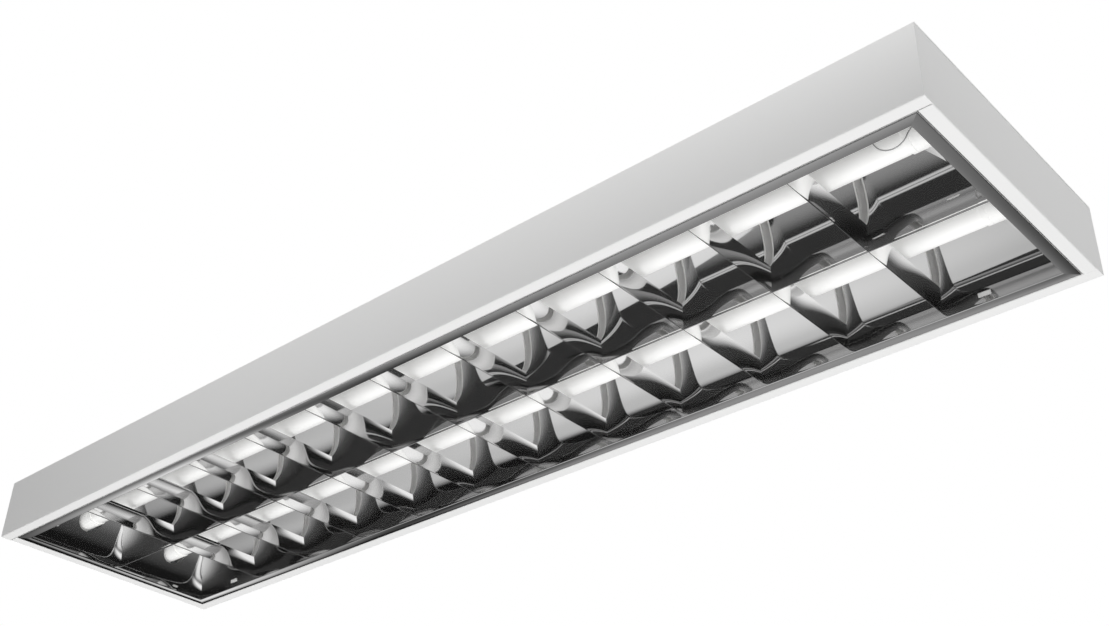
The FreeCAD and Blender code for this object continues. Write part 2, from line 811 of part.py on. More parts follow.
def mains_wire(side):
    """Supply wire from the terminal block, past the cable entry, to the ballast's right socket."""
    low = socket_level()
    y = side * block_pitch
    z = plate_z - block_wire
    x0 = block_x() - block_length / 2 + block_wire_in
    edge = ballast_x + ballast_length / 2 - lead_in
    clear = grommet_flange_r + wire_r + 1
    near = side * socket_pitch / 2
    return [vec(x0, y, z), vec(x0 - 14, y, z), vec(entry_x + 4, side * (clear + 3), z),
            vec(entry_x - 16, side * (clear + 1), z), vec(edge + 32, side * block_pitch, (z + low) / 2),
            vec(edge + 18, near, low), vec(edge, near, low)]


def earth_wire():
    """Earth wire from the terminal block to the earth screw, under its washer."""
    x0 = block_x() + block_length / 2 - block_wire_in
    z = plate_z - block_wire
    under = plate_z - washer - wire_r - cap_fit
    return [vec(x0, 0, z), vec(x0 + 10, 0, z), vec(x0 + 21, 0, under),
            vec(earth_x() - screw_head_r - seam, 0, under)]


def lamp_lead(row_sign, end_sign):
    """Lead from the ballast's left socket to a lamp holder, under the top plate."""
    low = socket_level()
    edge = ballast_x - ballast_length / 2 + lead_in
    y_end = row_sign * tube_spacing / 2
    near = row_sign * socket_pitch * (0.5 if end_sign < 0 else 1.5)
    lane = row_sign * (ballast_width / 2 + lane_gap + (0 if end_sign < 0 else lane_pitch))
    z = wire_level()
    turn_x = edge - 40 if end_sign < 0 else edge - 22
    points = [vec(edge, near, low), vec(edge - 12, near, low), vec(turn_x, (near + lane) / 2, (low + z) / 2),
              vec(turn_x - 14, lane, z)]
    if end_sign > 0:
        points = points[:3] + [vec(turn_x + 4, lane + row_sign * 6, z), vec(turn_x + 30, lane, z)]
    x_far = end_sign * (holder_face - 34)
    points = points + [vec(x_far, lane, z), vec(end_sign * (holder_face - 8), y_end, z - 1),
                       vec(end_sign * holder_face, y_end, z - 1)]
    return points


def lead_clips():
    """Saddles that hold the leads under the top plate."""
    saddles = []
    inside = saddle_room / 2
    outside = inside + saddle_leg
    z = wire_level() - lead_r - saddle_gap
    for row_sign in (-1, 1):
        y = row_sign * (ballast_width / 2 + saddle_side)
        for k in range(saddle_count):
            x = (k - (saddle_count - 1) / 2) * saddle_pitch + saddle_shift
            bar = box(x - saddle_half, x + saddle_half, y - outside, y + outside, z - saddle_sheet, plate_z)
            room = box(x - saddle_half - 1, x + saddle_half + 1, y - inside, y + inside, z, plate_z + 1)
            saddles.append(bar.cut(room))
    return Part.makeCompound(saddles)


# --- safety cords

def cord_points():
    """Right cord: from the hook on the end wall, down behind the end mirror, in through its hole, and in a
    slack bow through the corner cell to the knot on the front mirror."""
    wall = half_length - sheet
    face = half_length - mirror_face(cord_hole_height)
    hook = hook_y - half_width
    hole = cord_hole_y - half_width
    knot = mirror_face(knot_height) + knot_gap + knot_r - half_width
    return [vec(wall - hook_depth, hook, rim_z + hook_height), vec(wall - 10.3, hook, rim_z + hook_height),
            vec(wall - 16.3, hook + 1, rim_z + 42), vec(face + 14.5, hook + 3, rim_z + 30),
            vec(face + 10.5, hole, rim_z + cord_hole_height), vec(face - 4.0, hole, rim_z + cord_hole_height),
            vec(face - 11.5, hole, rim_z + 11), vec(face - 22, hole, rim_z + 8.5),
            vec(face - 32, hole - 1, rim_z + 12.5), vec(face - 37, hole - 4, rim_z + 22),
            vec(face - 38, knot, rim_z + knot_height)]


def left_cord_points():
    """Left cord: the same cord with its slack hanging behind the end mirror, tied off at the hole."""
    wall = sheet - half_length
    face = mirror_face(cord_hole_height) - half_length
    hook = hook_y - half_width
    hole = cord_hole_y - half_width
    return [vec(wall + hook_depth, hook, rim_z + hook_height), vec(wall + 10.8, hook, rim_z + hook_height),
            vec(wall + 13.6, hook - 4, rim_z + 42), vec(wall + 14.3, hook - 8, rim_z + 27),
            vec(wall + 15.3, hook - 5, rim_z + 15), vec(wall + 16.8, hook + 3, rim_z + 13),
            vec(face - 13, hole, rim_z + 18), vec(face - 7.5, hole, rim_z + cord_hole_height),
            vec(face + knot_gap + knot_r, hole, rim_z + cord_hole_height)]


def cord_hole(sign):
    face = sign * (half_length - mirror_face(cord_hole_height))
    start = vec(face - sign * 10, cord_hole_y - half_width, rim_z + cord_hole_height)
    return rod(start, vec(sign, 0, 0), cord_hole_r, 20)


def knots():
    """Knot at the louvre's end of each cord."""
    balls = []
    for points in (cord_points(), left_cord_points()):
        ball = Part.makeSphere(knot_r, points[-1])
        balls.append(ball.cut(rod(points[-1], points[-2] - points[-1], cord_r + cap_fit, 3 * knot_r)))
    return Part.makeCompound(balls)


def hooks():
    """Hook on each end wall that carries a safety cord."""
    pieces = []
    for sign in (-1, 1):
        x = sign * (half_length - sheet)
        start = vec(x, hook_y - half_width, rim_z + hook_height)
        pieces.append(rod(start, vec(-sign, 0, 0), hook_r, hook_depth))
    return Part.makeCompound(pieces)


def build():
    os.makedirs("parts", exist_ok=True)
    save("housing_tray", tray())
    for end, sign in ENDS.items():
        save("end_wall_" + end, at_end(end_wall(), sign))
        save("holder_bracket_" + end, at_end(bracket(), sign))
        mirror_end = at_end(louvre_end(), sign).cut(cord_hole(sign))
        save("end_mirror_" + end, mirror_end)
    for row in ROWS:
        save("side_mirror_" + row, louvre_side(row))
    save("centre_mirror", centre_mirror())
    form = blade_form()
    for i, x in enumerate(blade_places()):
        blade = form.copy()
        blade.translate(vec(x, 0, 0))
        save("cross_blade_%02d" % (i + 1), blade)
    save("louvre_springs", louvre_springs())
    for row, y in ROWS.items():
        save("tube_glass_" + row, tube_glass(y))
        save("tube_pins_" + row, tube_pins(y))
        for end, sign in ENDS.items():
            place = sign * y
            save("tube_cap_%s_%s" % (row, end), at_end(tube_cap(place), sign))
            save("lamp_holder_%s_%s" % (row, end), at_end(holder(place), sign))
            save("holder_rotor_%s_%s" % (row, end), at_end(rotor(place), sign))
            lead = cable("lamp_lead", lamp_lead(1 if y > 0 else -1, sign), lead_r, wire_bend)
            save("lamp_lead_%s_%s" % (row, end), lead)
    save("bracket_screws", bracket_screws())
    save("ballast_case", ballast_case())
    save("ballast_board", ballast_board())
    save("ballast_sockets", Part.makeCompound([ballast_socket(-1), ballast_socket(1)]))
    save("ballast_screws", ballast_screws())
    save("terminal_block", terminal_block())
    save("terminal_screws", terminal_screws())
    save("cable_grommet", grommet())
    save("earth_screw", earth_screw())
    save("wire_live", cable("wire_live", mains_wire(-1), wire_r, wire_bend))
    save("wire_neutral", cable("wire_neutral", mains_wire(1), wire_r, wire_bend))
    save("wire_earth", cable("wire_earth", earth_wire(), wire_r, wire_bend))
    save("lead_clips", lead_clips())
    save("safety_cord_right", cable("safety_cord_right", cord_points(), cord_r, wire_bend))
    save("safety_cord_left", cable("safety_cord_left", left_cord_points(), cord_r, wire_bend))
    save("cord_knots", knots())
    save("cord_hooks", hooks())


build()
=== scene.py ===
"""Louvred ceiling light with two tubes: its finishes, mirrors, tubes, cords, room and camera.

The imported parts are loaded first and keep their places. The mirrors, blades, tubes and cords are
modelled again here as fine meshes, because bright sheet shows every facet. All sizes are in metres.
The origin is the centre of the ceiling face, +X runs to the right end and the light hangs below
z = 0.
"""

import json
import logging
import math
from collections.abc import Callable
from dataclasses import dataclass, field
from enum import Enum

import bmesh
import bpy
from mathutils import Matrix, Vector


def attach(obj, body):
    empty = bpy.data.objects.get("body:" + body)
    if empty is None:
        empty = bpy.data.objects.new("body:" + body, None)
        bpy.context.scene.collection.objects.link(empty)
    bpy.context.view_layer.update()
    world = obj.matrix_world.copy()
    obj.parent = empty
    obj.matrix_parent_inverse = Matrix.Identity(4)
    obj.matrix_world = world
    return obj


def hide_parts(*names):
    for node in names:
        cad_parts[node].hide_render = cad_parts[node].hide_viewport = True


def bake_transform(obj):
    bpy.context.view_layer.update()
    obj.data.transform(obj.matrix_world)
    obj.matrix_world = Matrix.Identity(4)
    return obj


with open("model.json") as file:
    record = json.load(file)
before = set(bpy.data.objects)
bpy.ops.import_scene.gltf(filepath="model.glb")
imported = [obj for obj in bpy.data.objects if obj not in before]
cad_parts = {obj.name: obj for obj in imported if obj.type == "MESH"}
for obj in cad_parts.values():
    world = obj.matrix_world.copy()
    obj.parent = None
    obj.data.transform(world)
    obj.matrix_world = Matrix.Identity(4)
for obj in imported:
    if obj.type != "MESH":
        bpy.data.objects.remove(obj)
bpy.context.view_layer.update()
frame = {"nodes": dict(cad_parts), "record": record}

BACK = "back"                    # face attribute, 1 on the dull back of bright sheet
FACING_UP = 0.01                 # least z of the normal of a face that looks up
CREASE = 30.0                    # smallest angle, in degrees, that stays a sharp edge
MERGE = 1e-7                     # vertices nearer than this are one
MIX_FACTOR = 0                   # inputs of a Mix node: its factor, its two values, its two colours
MIX_VALUES = (2, 3)
MIX_COLOURS = (6, 7)
LOG = logging.getLogger("louvre_light")


class Slot(Enum):
    """Material slots of the record."""

    ENAMEL = "white_enamel"
    ZINC = "zinc_steel"
    MIRROR = "bright_aluminium"
    SPRING = "spring_steel"
    GLASS = "frosted_glass"
    BRASS = "pin_brass"
    PLASTIC = "white_plastic"
    LEAD = "white_pvc"
    SCREW = "screw_steel"
    BALLAST = "ballast_steel"
    BOARD = "circuit_board"
    RUBBER = "black_rubber"
    BROWN = "brown_pvc"
    BLUE = "blue_pvc"
    EARTH = "green_yellow_pvc"
    NYLON = "nylon_cord"


class Side(Enum):
    """The two long sides, by the sign of Y."""

    FRONT = -1
    BACK = 1


class End(Enum):
    """The two ends, by the sign of X."""

    LEFT = -1
    RIGHT = 1


class Graph:
    """Node graph of a material, with short calls to add and join nodes."""

    def __init__(self, name: str) -> None:
        """Starts a material with an empty graph and a Principled shader.

        Args:
            name: The material's name.
        """
        self.material = bpy.data.materials.new(name)
        self.material.use_nodes = True
        self.tree = self.material.node_tree
        self.tree.nodes.clear()
        self.output = self.add("ShaderNodeOutputMaterial")
        self.shader = self.add("ShaderNodeBsdfPrincipled")
        self.join(self.shader, "BSDF", self.output, "Surface")

    def add(self, kind: str, **values: object) -> bpy.types.Node:
        """Adds a node.

        Args:
            kind: The node's type.
            **values: Attributes of the node.

        Returns:
            The node.
        """
        node = self.tree.nodes.new(kind)
        for name, value in values.items():
            setattr(node, name, value)
        return node

    def join(self, a: bpy.types.Node, out: str, b: bpy.types.Node, into: str | int) -> None:
        """Links the output named out of node a to an input of node b."""
        self.tree.links.new(a.outputs[out], b.inputs[into])

    def place(self) -> bpy.types.Node:
        """Returns a node that gives Object coordinates."""
        return self.add("ShaderNodeTexCoord")

    def axes(self) -> list[bpy.types.NodeSocket]:
        """Returns the X, Y and Z of the Object coordinates."""
        split = self.add("ShaderNodeSeparateXYZ")
        self.join(self.place(), "Object", split, "Vector")
        return list(split.outputs)

    def noise(self, scale: float, detail: float) -> bpy.types.Node:
        """Adds noise on Object coordinates.

        Args:
            scale: Grains per metre.
            detail: Octaves of the noise.

        Returns:
            The noise node.
        """
        node = self.add("ShaderNodeTexNoise")
        node.inputs["Scale"].default_value = scale
        node.inputs["Detail"].default_value = detail
        self.join(self.place(), "Object", node, "Vector")
        return node

    def spread(self, source: bpy.types.Node, out: str, low: float, high: float) -> bpy.types.Node:
        """Maps a value from 0..1 to low..high.

        Args:
            source: Node that gives the value.
            out: Name of its output.
            low: Result at 0.
            high: Result at 1.

        Returns:
            The mapping node, whose output is Result.
        """
        node = self.add("ShaderNodeMapRange")
        node.inputs["To Min"].default_value = low
        node.inputs["To Max"].default_value = high
        self.join(source, out, node, "Value")
        return node

    def tint(self, source: bpy.types.Node, out: str, dark: tuple, light: tuple) -> None:
        """Drives the base colour from a value.

        Args:
            source: Node that gives the value.
            out: Name of its output.
            dark: Colour at 0.
            light: Colour at 1.
        """
        node = self.add("ShaderNodeMix", data_type="RGBA")
        for index, colour in zip(MIX_COLOURS, (dark, light)):
            node.inputs[index].default_value = (*colour, 1.0)
        self.join(source, out, node, MIX_FACTOR)
        self.tree.links.new(node.outputs[2], self.shader.inputs["Base Color"])

    def math(self, operation: str, a: bpy.types.NodeSocket | float,
             b: bpy.types.NodeSocket | float | None = None) -> bpy.types.NodeSocket:
        """Adds a Math node.

        Args:
            operation: Its operation.
            a: First value or socket.
            b: Second value or socket, if the operation has one.

        Returns:
            The socket with the result.
        """
        node = self.add("ShaderNodeMath", operation=operation)
        for index, value in enumerate((a, b)):
            if isinstance(value, bpy.types.NodeSocket):
                self.tree.links.new(value, node.inputs[index])
            elif value is not None:
                node.inputs[index].default_value = value
        return node.outputs[0]

    def times(self, a: bpy.types.NodeSocket, b: float) -> bpy.types.NodeSocket:
        """Returns a socket times a number."""
        return self.math("MULTIPLY", a, b)

    def product(self, a: bpy.types.NodeSocket, b: bpy.types.NodeSocket) -> bpy.types.NodeSocket:
        """Returns the product of two sockets."""
        return self.math("MULTIPLY", a, b)

    def sum(self, a: bpy.types.NodeSocket, b: bpy.types.NodeSocket | float) -> bpy.types.NodeSocket:
        """Returns the sum of a socket and a value or socket."""
        return self.math("ADD", a, b)

    def fade(self, value: bpy.types.NodeSocket, outside: float,
             inside: float) -> bpy.types.NodeSocket:
        """Returns 0 where the value is outside, 1 where it is inside, and a smooth step between.

        Args:
            value: Socket with the value.
            outside: Value where the result is 0.
            inside: Value where the result is 1.

        Returns:
            The socket with the result.
        """
        node = self.add("ShaderNodeMapRange", interpolation_type="SMOOTHSTEP")
        low, high = sorted((outside, inside))
        node.inputs["From Min"].default_value = low
        node.inputs["From Max"].default_value = high
        node.inputs["To Min"].default_value = float(low == inside)
        node.inputs["To Max"].default_value = float(high == inside)
        self.tree.links.new(value, node.inputs["Value"])
        return node.outputs["Result"]

    def emit(self, strength: bpy.types.NodeSocket | float) -> None:
        """Makes the surface a plain light.

        Args:
            strength: Value or socket that gives its strength.
        """
        light = self.add("ShaderNodeEmission")
        if isinstance(strength, bpy.types.NodeSocket):
            self.tree.links.new(strength, light.inputs["Strength"])
        else:
            light.inputs["Strength"].default_value = strength
        self.join(light, "Emission", self.output, "Surface")

    def bump(self, source: bpy.types.Node, out: str, height: float, strength: float) -> None:
        """Adds a bump to the surface; bumps added later sit on the earlier ones.

        Args:
            source: Node that gives the height from 0 to 1.
            out: Name of its output.
            height: Height in metres at 1.
            strength: Weight of the bump.
        """
        node = self.add("ShaderNodeBump")
        node.inputs["Distance"].default_value = height
        node.inputs["Strength"].default_value = strength
        self.join(source, out, node, "Height")
        socket = self.shader.inputs["Normal"]
        if socket.links:
            self.tree.links.new(socket.links[0].from_socket, node.inputs["Normal"])
        self.join(node, "Normal", self.shader, "Normal")


@dataclass(frozen=True)
class Finish:
    """A finish with fine grain: colour, gloss, and the size of its unevenness."""

    name: str
    colour: tuple[float, float, float]
    roughness: float
    metallic: float = 0.0
    shade: float = 0.96          # darkest tint, as a share of the colour
    patch: float = 14.0          # colour patches per metre
    grain: float = 900.0         # surface grain per metre
    grain_height: float = 0.00002
    grain_strength: float = 0.35
    rough_spread: float = 0.05
    coat: float = 0.0
    patch_detail: float = 4.0    # octaves of the patches' noise
    grain_detail: float = 2.0    # octaves of the grain's noise

    def build(self) -> bpy.types.Material:
        """Makes the material.

        Returns:
            The material.
        """
        g = Graph(self.name)
        g.shader.inputs["Metallic"].default_value = self.metallic
        g.shader.inputs["Coat Weight"].default_value = self.coat
        patches = g.noise(self.patch, self.patch_detail)
        dark = tuple(c * self.shade for c in self.colour)
        g.tint(patches, "Fac", dark, self.colour)
        grain = g.noise(self.grain, self.grain_detail)
        half = self.rough_spread / 2
        rough = g.spread(grain, "Fac", self.roughness - half, self.roughness + half)
        g.join(rough, "Result", g.shader, "Roughness")
        g.bump(grain, "Fac", self.grain_height, self.grain_strength)
        self.extra(g)
        return g.material

    def extra(self, g: Graph) -> None:
        """Adds what only one finish has."""


@dataclass(frozen=True)
class MirrorFinish(Finish):
    """Bright anodised aluminium: a mirror with a faint grain, a slow ripple and a dull back."""

    ripple: float = 5.0          # waves per metre of the sheet's unevenness
    ripple_detail: float = 1.0   # octaves of the ripple's noise
    ripple_height: float = 0.00012
    ripple_strength: float = 1.0
    back_roughness: float = 0.45
    back_metallic: float = 0.35

    def extra(self, g: Graph) -> None:
        """Adds the slow ripple of a thin sheet and the dull finish of its back.

        Args:
            g: The material's graph.
        """
        wave = g.noise(self.ripple, self.ripple_detail)
        g.bump(wave, "Fac", self.ripple_height, self.ripple_strength)
        back = g.add("ShaderNodeAttribute", attribute_name=BACK).outputs["Fac"]
        rough = g.shader.inputs["Roughness"]
        total = g.sum(g.times(back, self.back_roughness), rough.links[0].from_socket)
        g.tree.links.new(total, rough)
        metal = g.sum(g.times(back, self.back_metallic - self.metallic), self.metallic)
        g.tree.links.new(metal, g.shader.inputs["Metallic"])


@dataclass(frozen=True)
class TubeFinish(Finish):
    """White powder inside clear glass: matt body under a glossy outer skin, with a painted glow
    that lifts the unlit tube.
    """

    # glow is painted light: the tube is off, and this emission stands in for light gathered on it
    glow: float = 0.0
    painted_glow_colour: tuple[float, float, float] = (1.0, 1.0, 0.98)

    def extra(self, g: Graph) -> None:
        """Adds the painted glow: emission on the unlit tube that stands in for the light the
        mirrors gather on it.

        Args:
            g: The material's graph.
        """
        g.shader.inputs["Emission Color"].default_value = (*self.painted_glow_colour, 1.0)
        g.shader.inputs["Emission Strength"].default_value = self.glow


@dataclass(frozen=True)
class StripedFinish(Finish):
    """Insulation of two colours in lengthwise stripes."""

    second: tuple[float, float, float] = (0.85, 0.75, 0.05)
    stripes: float = 140.0       # scale of the stripes' wave

    def extra(self, g: Graph) -> None:
        """Replaces the tint by two stripes.

        Args:
            g: The material's graph.
        """
        wave = g.add("ShaderNodeTexWave", wave_type="BANDS", bands_direction="Z")
        wave.inputs["Scale"].default_value = self.stripes
        g.join(g.place(), "Object", wave, "Vector")
        g.tint(wave, "Fac", self.colour, self.second)


FINISHES: dict[Slot, Finish] = {
    Slot.ENAMEL: Finish("enamel_coat", (0.90, 0.90, 0.895), 0.36, shade=0.985, patch=5.0,
                        grain=1400.0, grain_height=0.000025),
    Slot.ZINC: Finish("zinc_plate", (0.62, 0.63, 0.65), 0.38, 1.0, shade=0.85, patch=60.0,
                      grain=500.0),
    Slot.MIRROR: MirrorFinish("bright_mirror", (0.945, 0.943, 0.941), 0.04, 0.985, shade=0.985,
                              patch=8.0, grain=700.0, grain_height=0.000002, rough_spread=0.02),
    Slot.SPRING: Finish("spring_strip", (0.95, 0.95, 0.94), 0.40, shade=0.98, grain=1500.0),
    # glow=0.22 is painted light on the unlit tube, and the caps that share this finish glow too
    Slot.GLASS: TubeFinish("frosted_tube", (0.93, 0.93, 0.92), 0.30, shade=0.99, coat=0.6,
                           grain_height=0.000004, glow=0.22),
    Slot.BRASS: Finish("nickel_pin", (0.74, 0.72, 0.66), 0.25, 1.0, grain=2000.0),
    Slot.PLASTIC: Finish("white_moulding", (0.86, 0.86, 0.84), 0.34, grain=1800.0),
    Slot.LEAD: Finish("white_insulation", (0.80, 0.80, 0.78), 0.45, grain=2500.0),
    Slot.SCREW: Finish("zinc_screw", (0.66, 0.66, 0.66), 0.3, 1.0, shade=0.88, patch=300.0,
                       grain=2500.0),
    Slot.BALLAST: Finish("ballast_paint", (0.74, 0.74, 0.73), 0.42, grain=1200.0),
    Slot.BOARD: Finish("green_board", (0.06, 0.22, 0.10), 0.4, shade=0.7, patch=220.0,
                       grain=1500.0),
    Slot.RUBBER: Finish("soft_rubber", (0.03, 0.03, 0.03), 0.62, shade=0.8, grain=1800.0),
    Slot.BROWN: Finish("brown_insulation", (0.20, 0.09, 0.04), 0.42, grain=2500.0),
    Slot.BLUE: Finish("blue_insulation", (0.05, 0.14, 0.50), 0.42, grain=2500.0),
    Slot.EARTH: StripedFinish("striped_insulation", (0.10, 0.42, 0.08), 0.42, grain=2500.0),
    Slot.NYLON: Finish("grey_nylon", (0.62, 0.62, 0.62), 0.4, shade=0.85, patch=400.0,
                       grain=3000.0),
}


def to_mesh(name: str, bm: bmesh.types.BMesh) -> bpy.types.Mesh:
    """Makes a mesh from a bmesh.

    Args:
        name: The mesh's name.
        bm: The bmesh, freed here.

    Returns:
        The mesh.
    """
    mesh = bpy.data.meshes.new(name)
    bm.to_mesh(mesh)
    bm.free()
    return mesh


def link_new(name: str, data: bpy.types.ID) -> bpy.types.Object:
    """Makes an object and links it to the scene.

    Args:
        name: The object's name.
        data: Its mesh, curve or camera.

    Returns:
        The object.
    """
    obj = bpy.data.objects.new(name, data)
    bpy.context.scene.collection.objects.link(obj)
    return obj


def evaluated_mesh(obj: bpy.types.Object) -> bpy.types.Mesh:
    """Makes a mesh of what an object's modifiers or curve give now.

    Args:
        obj: The object.

    Returns:
        The new mesh.
    """
    bpy.context.view_layer.update()
    graph = bpy.context.evaluated_depsgraph_get()
    return bpy.data.meshes.new_from_object(obj.evaluated_get(graph))


@dataclass
class Bench:
    """Holds the finished materials and gives pieces their body, slot and finish."""

    materials: dict[Slot, bpy.types.Material] = field(default_factory=dict)

    def finish(self, slot: Slot) -> bpy.types.Material:
        """Returns the material of a slot, made once."""
        if slot not in self.materials:
            self.materials[slot] = FINISHES[slot].build()
        return self.materials[slot]

    def dress_parts(self) -> None:
        """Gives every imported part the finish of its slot."""
        slots = {row["node"]: Slot(row["material_slot"]) for row in frame["record"]["subparts"]}
        for name, node in frame["nodes"].items():
            node.data.materials.clear()
            node.data.materials.append(self.finish(slots[name]))

    def piece(self, finish: str, part: str, bm: bmesh.types.BMesh, slot: Slot, body: str = "",
              crease: float = CREASE) -> bpy.types.Object:
        """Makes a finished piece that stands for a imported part.

        Args:
            finish: Word for its finish, the first word of its name.
            part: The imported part's name, the rest of its name.
            bm: Its mesh, freed here.
            slot: Slot that gives the finish.
            body: Body that the piece rides on, or none for a piece between two bodies.
            crease: Smallest angle, in degrees, that stays a sharp edge.

        Returns:
            The piece.
        """
        name = finish + "_" + part
        bmesh.ops.remove_doubles(bm, verts=bm.verts, dist=MERGE)
        bmesh.ops.recalc_face_normals(bm, faces=bm.faces)
        mesh = to_mesh(name, bm)
        mesh.shade_smooth()
        mesh.set_sharp_from_angle(angle=math.radians(crease))
        obj = link_new(name, mesh)
        mesh.materials.append(self.finish(slot))
        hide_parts(part)
        if body:
            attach(obj, body)
        LOG.info("%s: %d faces", name, len(mesh.polygons))
        return obj


@dataclass
class Profile:
    """Sizes that the mirrors share. Heights are measured up from the rim."""

    rim: float = -0.072
    half_length: float = 0.620
    half_width: float = 0.150
    lip: float = 0.013
    gap: float = 0.0004          # louvre edge to the housing's upstand
    band: float = 0.0116
    flange: float = 0.010
    sheet: float = 0.0005
    fold: float = 0.0009         # outside radius of the folds
    focus: float = 0.0240
    slope: float = 0.10          # lean of a mirror at its foot, as a slope
    start: float = 0.0010        # height where a side mirror starts to curve
    top: float = 0.055
    fold_height: float = 0.0042  # lowest point of the blades and the centre mirror
    steps: int = 40              # points up a mirror
    fold_points: int = 7         # points round a fold

    @property
    def louvre_x(self) -> float:
        """Returns half the louvre's length."""
        return self.half_length - self.lip - self.gap

    @property
    def louvre_y(self) -> float:
        """Returns half the louvre's width."""
        return self.half_width - self.lip - self.gap

    @property
    def lean(self) -> float:
        """Returns the lean of a mirror at its foot, in degrees."""
        return math.degrees(math.atan(self.slope))

    @property
    def vertex(self) -> float:
        """Returns the height where a side mirror leaves its fold."""
        return self.fold * (1 - math.sin(math.atan(self.slope)))

    def inset(self, height: float) -> float:
        """Returns how far a mirror leans in from its foot at a height."""
        return self.slope * height + max(height - self.start, 0.0) ** 2 / (4 * self.focus)

    def foot(self, height: float) -> float:
        """Returns the distance from the rim's edge to a mirror's face at a height."""
        return self.lip + self.gap + self.band + self.inset(height)

    def arc(self, centre: tuple[float, float], radius: float, start: float, end: float) -> list:
        """Gives the points round a fold.

        Args:
            centre: Middle of the arc.
            radius: Its radius.
            start: Angle where it starts, in degrees.
            end: Angle where it ends, in degrees.

        Returns:
            The points as (across, height) pairs.
        """
        last = self.fold_points - 1
        turn = [math.radians(start + (end - start) * i / last) for i in range(last + 1)]
        return [(centre[0] + radius * math.cos(a), centre[1] + radius * math.sin(a)) for a in turn]

    def curve(self, depth: float) -> list:
        """Gives the points up a mirror from foot to top.

        Args:
            depth: Distance behind the bright face.

        Returns:
            The points as (across, height) pairs.
        """
        rise = self.top - self.vertex
        heights = [self.vertex + rise * i / self.steps for i in range(self.steps + 1)]
        points = []
        for h in heights:
            slope = self.slope + max(h - self.start, 0.0) / (2 * self.focus)
            size = math.hypot(1.0, slope)
            points.append((self.band + self.inset(h) - depth / size, h + depth * slope / size))
        return points

    def side_outline(self) -> list:
        """Outlines a side or end mirror: upstand, band and mirror, with round folds.

        Returns:
            The closed outline as (across, height) pairs.
        """
        r, t, b = self.fold, self.sheet, self.band
        outer = [(0.0, self.flange)] + self.arc((r, r), r, 180, 270)
        turn = self.lean
        middle = b + self.slope * r - r * math.hypot(1.0, self.slope)
        outer += self.arc((middle, r), r, 270, 360 - turn)[:-1] + self.curve(0.0)
        inner = self.curve(t)[::-1] + self.arc((middle, r), r - t, 360 - turn, 270)[1:]
        inner += self.arc((r, r), r - t, 270, 180) + [(t, self.flange)]
        return outer + inner


def extrude_outline(outline: list, run: float) -> bmesh.types.BMesh:
    """Extrudes a closed outline of (Y, Z) pairs along X.

    Args:
        outline: Points of the outline.
        run: Length along X, centred on zero.

    Returns:
        The solid's mesh.
    """
    bm = bmesh.new()
    verts = [bm.verts.new((-run / 2, y, z)) for y, z in outline]
    face = bm.faces.new(verts)
    made = bmesh.ops.extrude_face_region(bm, geom=[face])
    moved = [v for v in made["geom"] if isinstance(v, bmesh.types.BMVert)]
    bmesh.ops.translate(bm, verts=moved, vec=(run, 0, 0))
    return bm


def trim_ends(bm: bmesh.types.BMesh, reach: Callable[[Vector], float]) -> None:
    """Moves both ends of an extruded mesh along X, each point to the reach that it has."""
    for vert in bm.verts:
        vert.co.x = math.copysign(reach(vert.co), vert.co.x)


def turn_and_place(bm: bmesh.types.BMesh, degrees: float,
                   offset: tuple[float, float, float]) -> None:
    """Turns a mesh about Z and then moves it.

    Args:
        bm: The mesh.
        degrees: The turn.
        offset: The move.
    """
    turn = Matrix.Rotation(math.radians(degrees), 3, "Z")
    bmesh.ops.rotate(bm, verts=bm.verts, cent=(0, 0, 0), matrix=turn)
    bmesh.ops.translate(bm, verts=bm.verts, vec=offset)


def cut_with(obj: bpy.types.Object, cutter: bmesh.types.BMesh) -> None:
    """Takes the cutter's volume out of an object's mesh.

    Args:
        obj: The object to cut.
        cutter: Closed mesh to take out, freed here.
    """
    bmesh.ops.recalc_face_normals(cutter, faces=cutter.faces)
    mesh = to_mesh("cutter", cutter)
    tool = link_new("cutter", mesh)
    modifier = obj.modifiers.new("cut", "BOOLEAN")
    modifier.operation = "DIFFERENCE"
    modifier.solver = "EXACT"
    modifier.object = tool
    result = evaluated_mesh(obj)
    obj.modifiers.clear()
    old = obj.data
    name = old.name
    obj.data = result
    bpy.data.meshes.remove(old)
    result.name = name
    bpy.data.objects.remove(tool)
    bpy.data.meshes.remove(mesh)
    result.set_sharp_from_angle(angle=math.radians(CREASE))


def mark_back(obj: bpy.types.Object) -> None:
    """Marks the faces that look up, which are the dull back of the louvre's sheets.

    Args:
        obj: A mirror or blade.
    """
    mesh = obj.data
    layer = mesh.attributes.new(BACK, "FLOAT", "FACE")
    for face in mesh.polygons:
        layer.data[face.index].value = float(face.normal.z > FACING_UP)


def box_mesh(low: tuple, high: tuple) -> bmesh.types.BMesh:
    """Makes a box.

    Args:
        low: Its lowest corner.
        high: Its highest corner.

    Returns:
        The closed mesh.
    """
    bm = bmesh.new()
    size = [b - a for a, b in zip(low, high)]
    middle = [(b + a) / 2 for a, b in zip(low, high)]
    bmesh.ops.create_cube(bm, size=1.0)
    bmesh.ops.scale(bm, verts=bm.verts, vec=size)
    bmesh.ops.translate(bm, verts=bm.verts, vec=middle)
    return bm


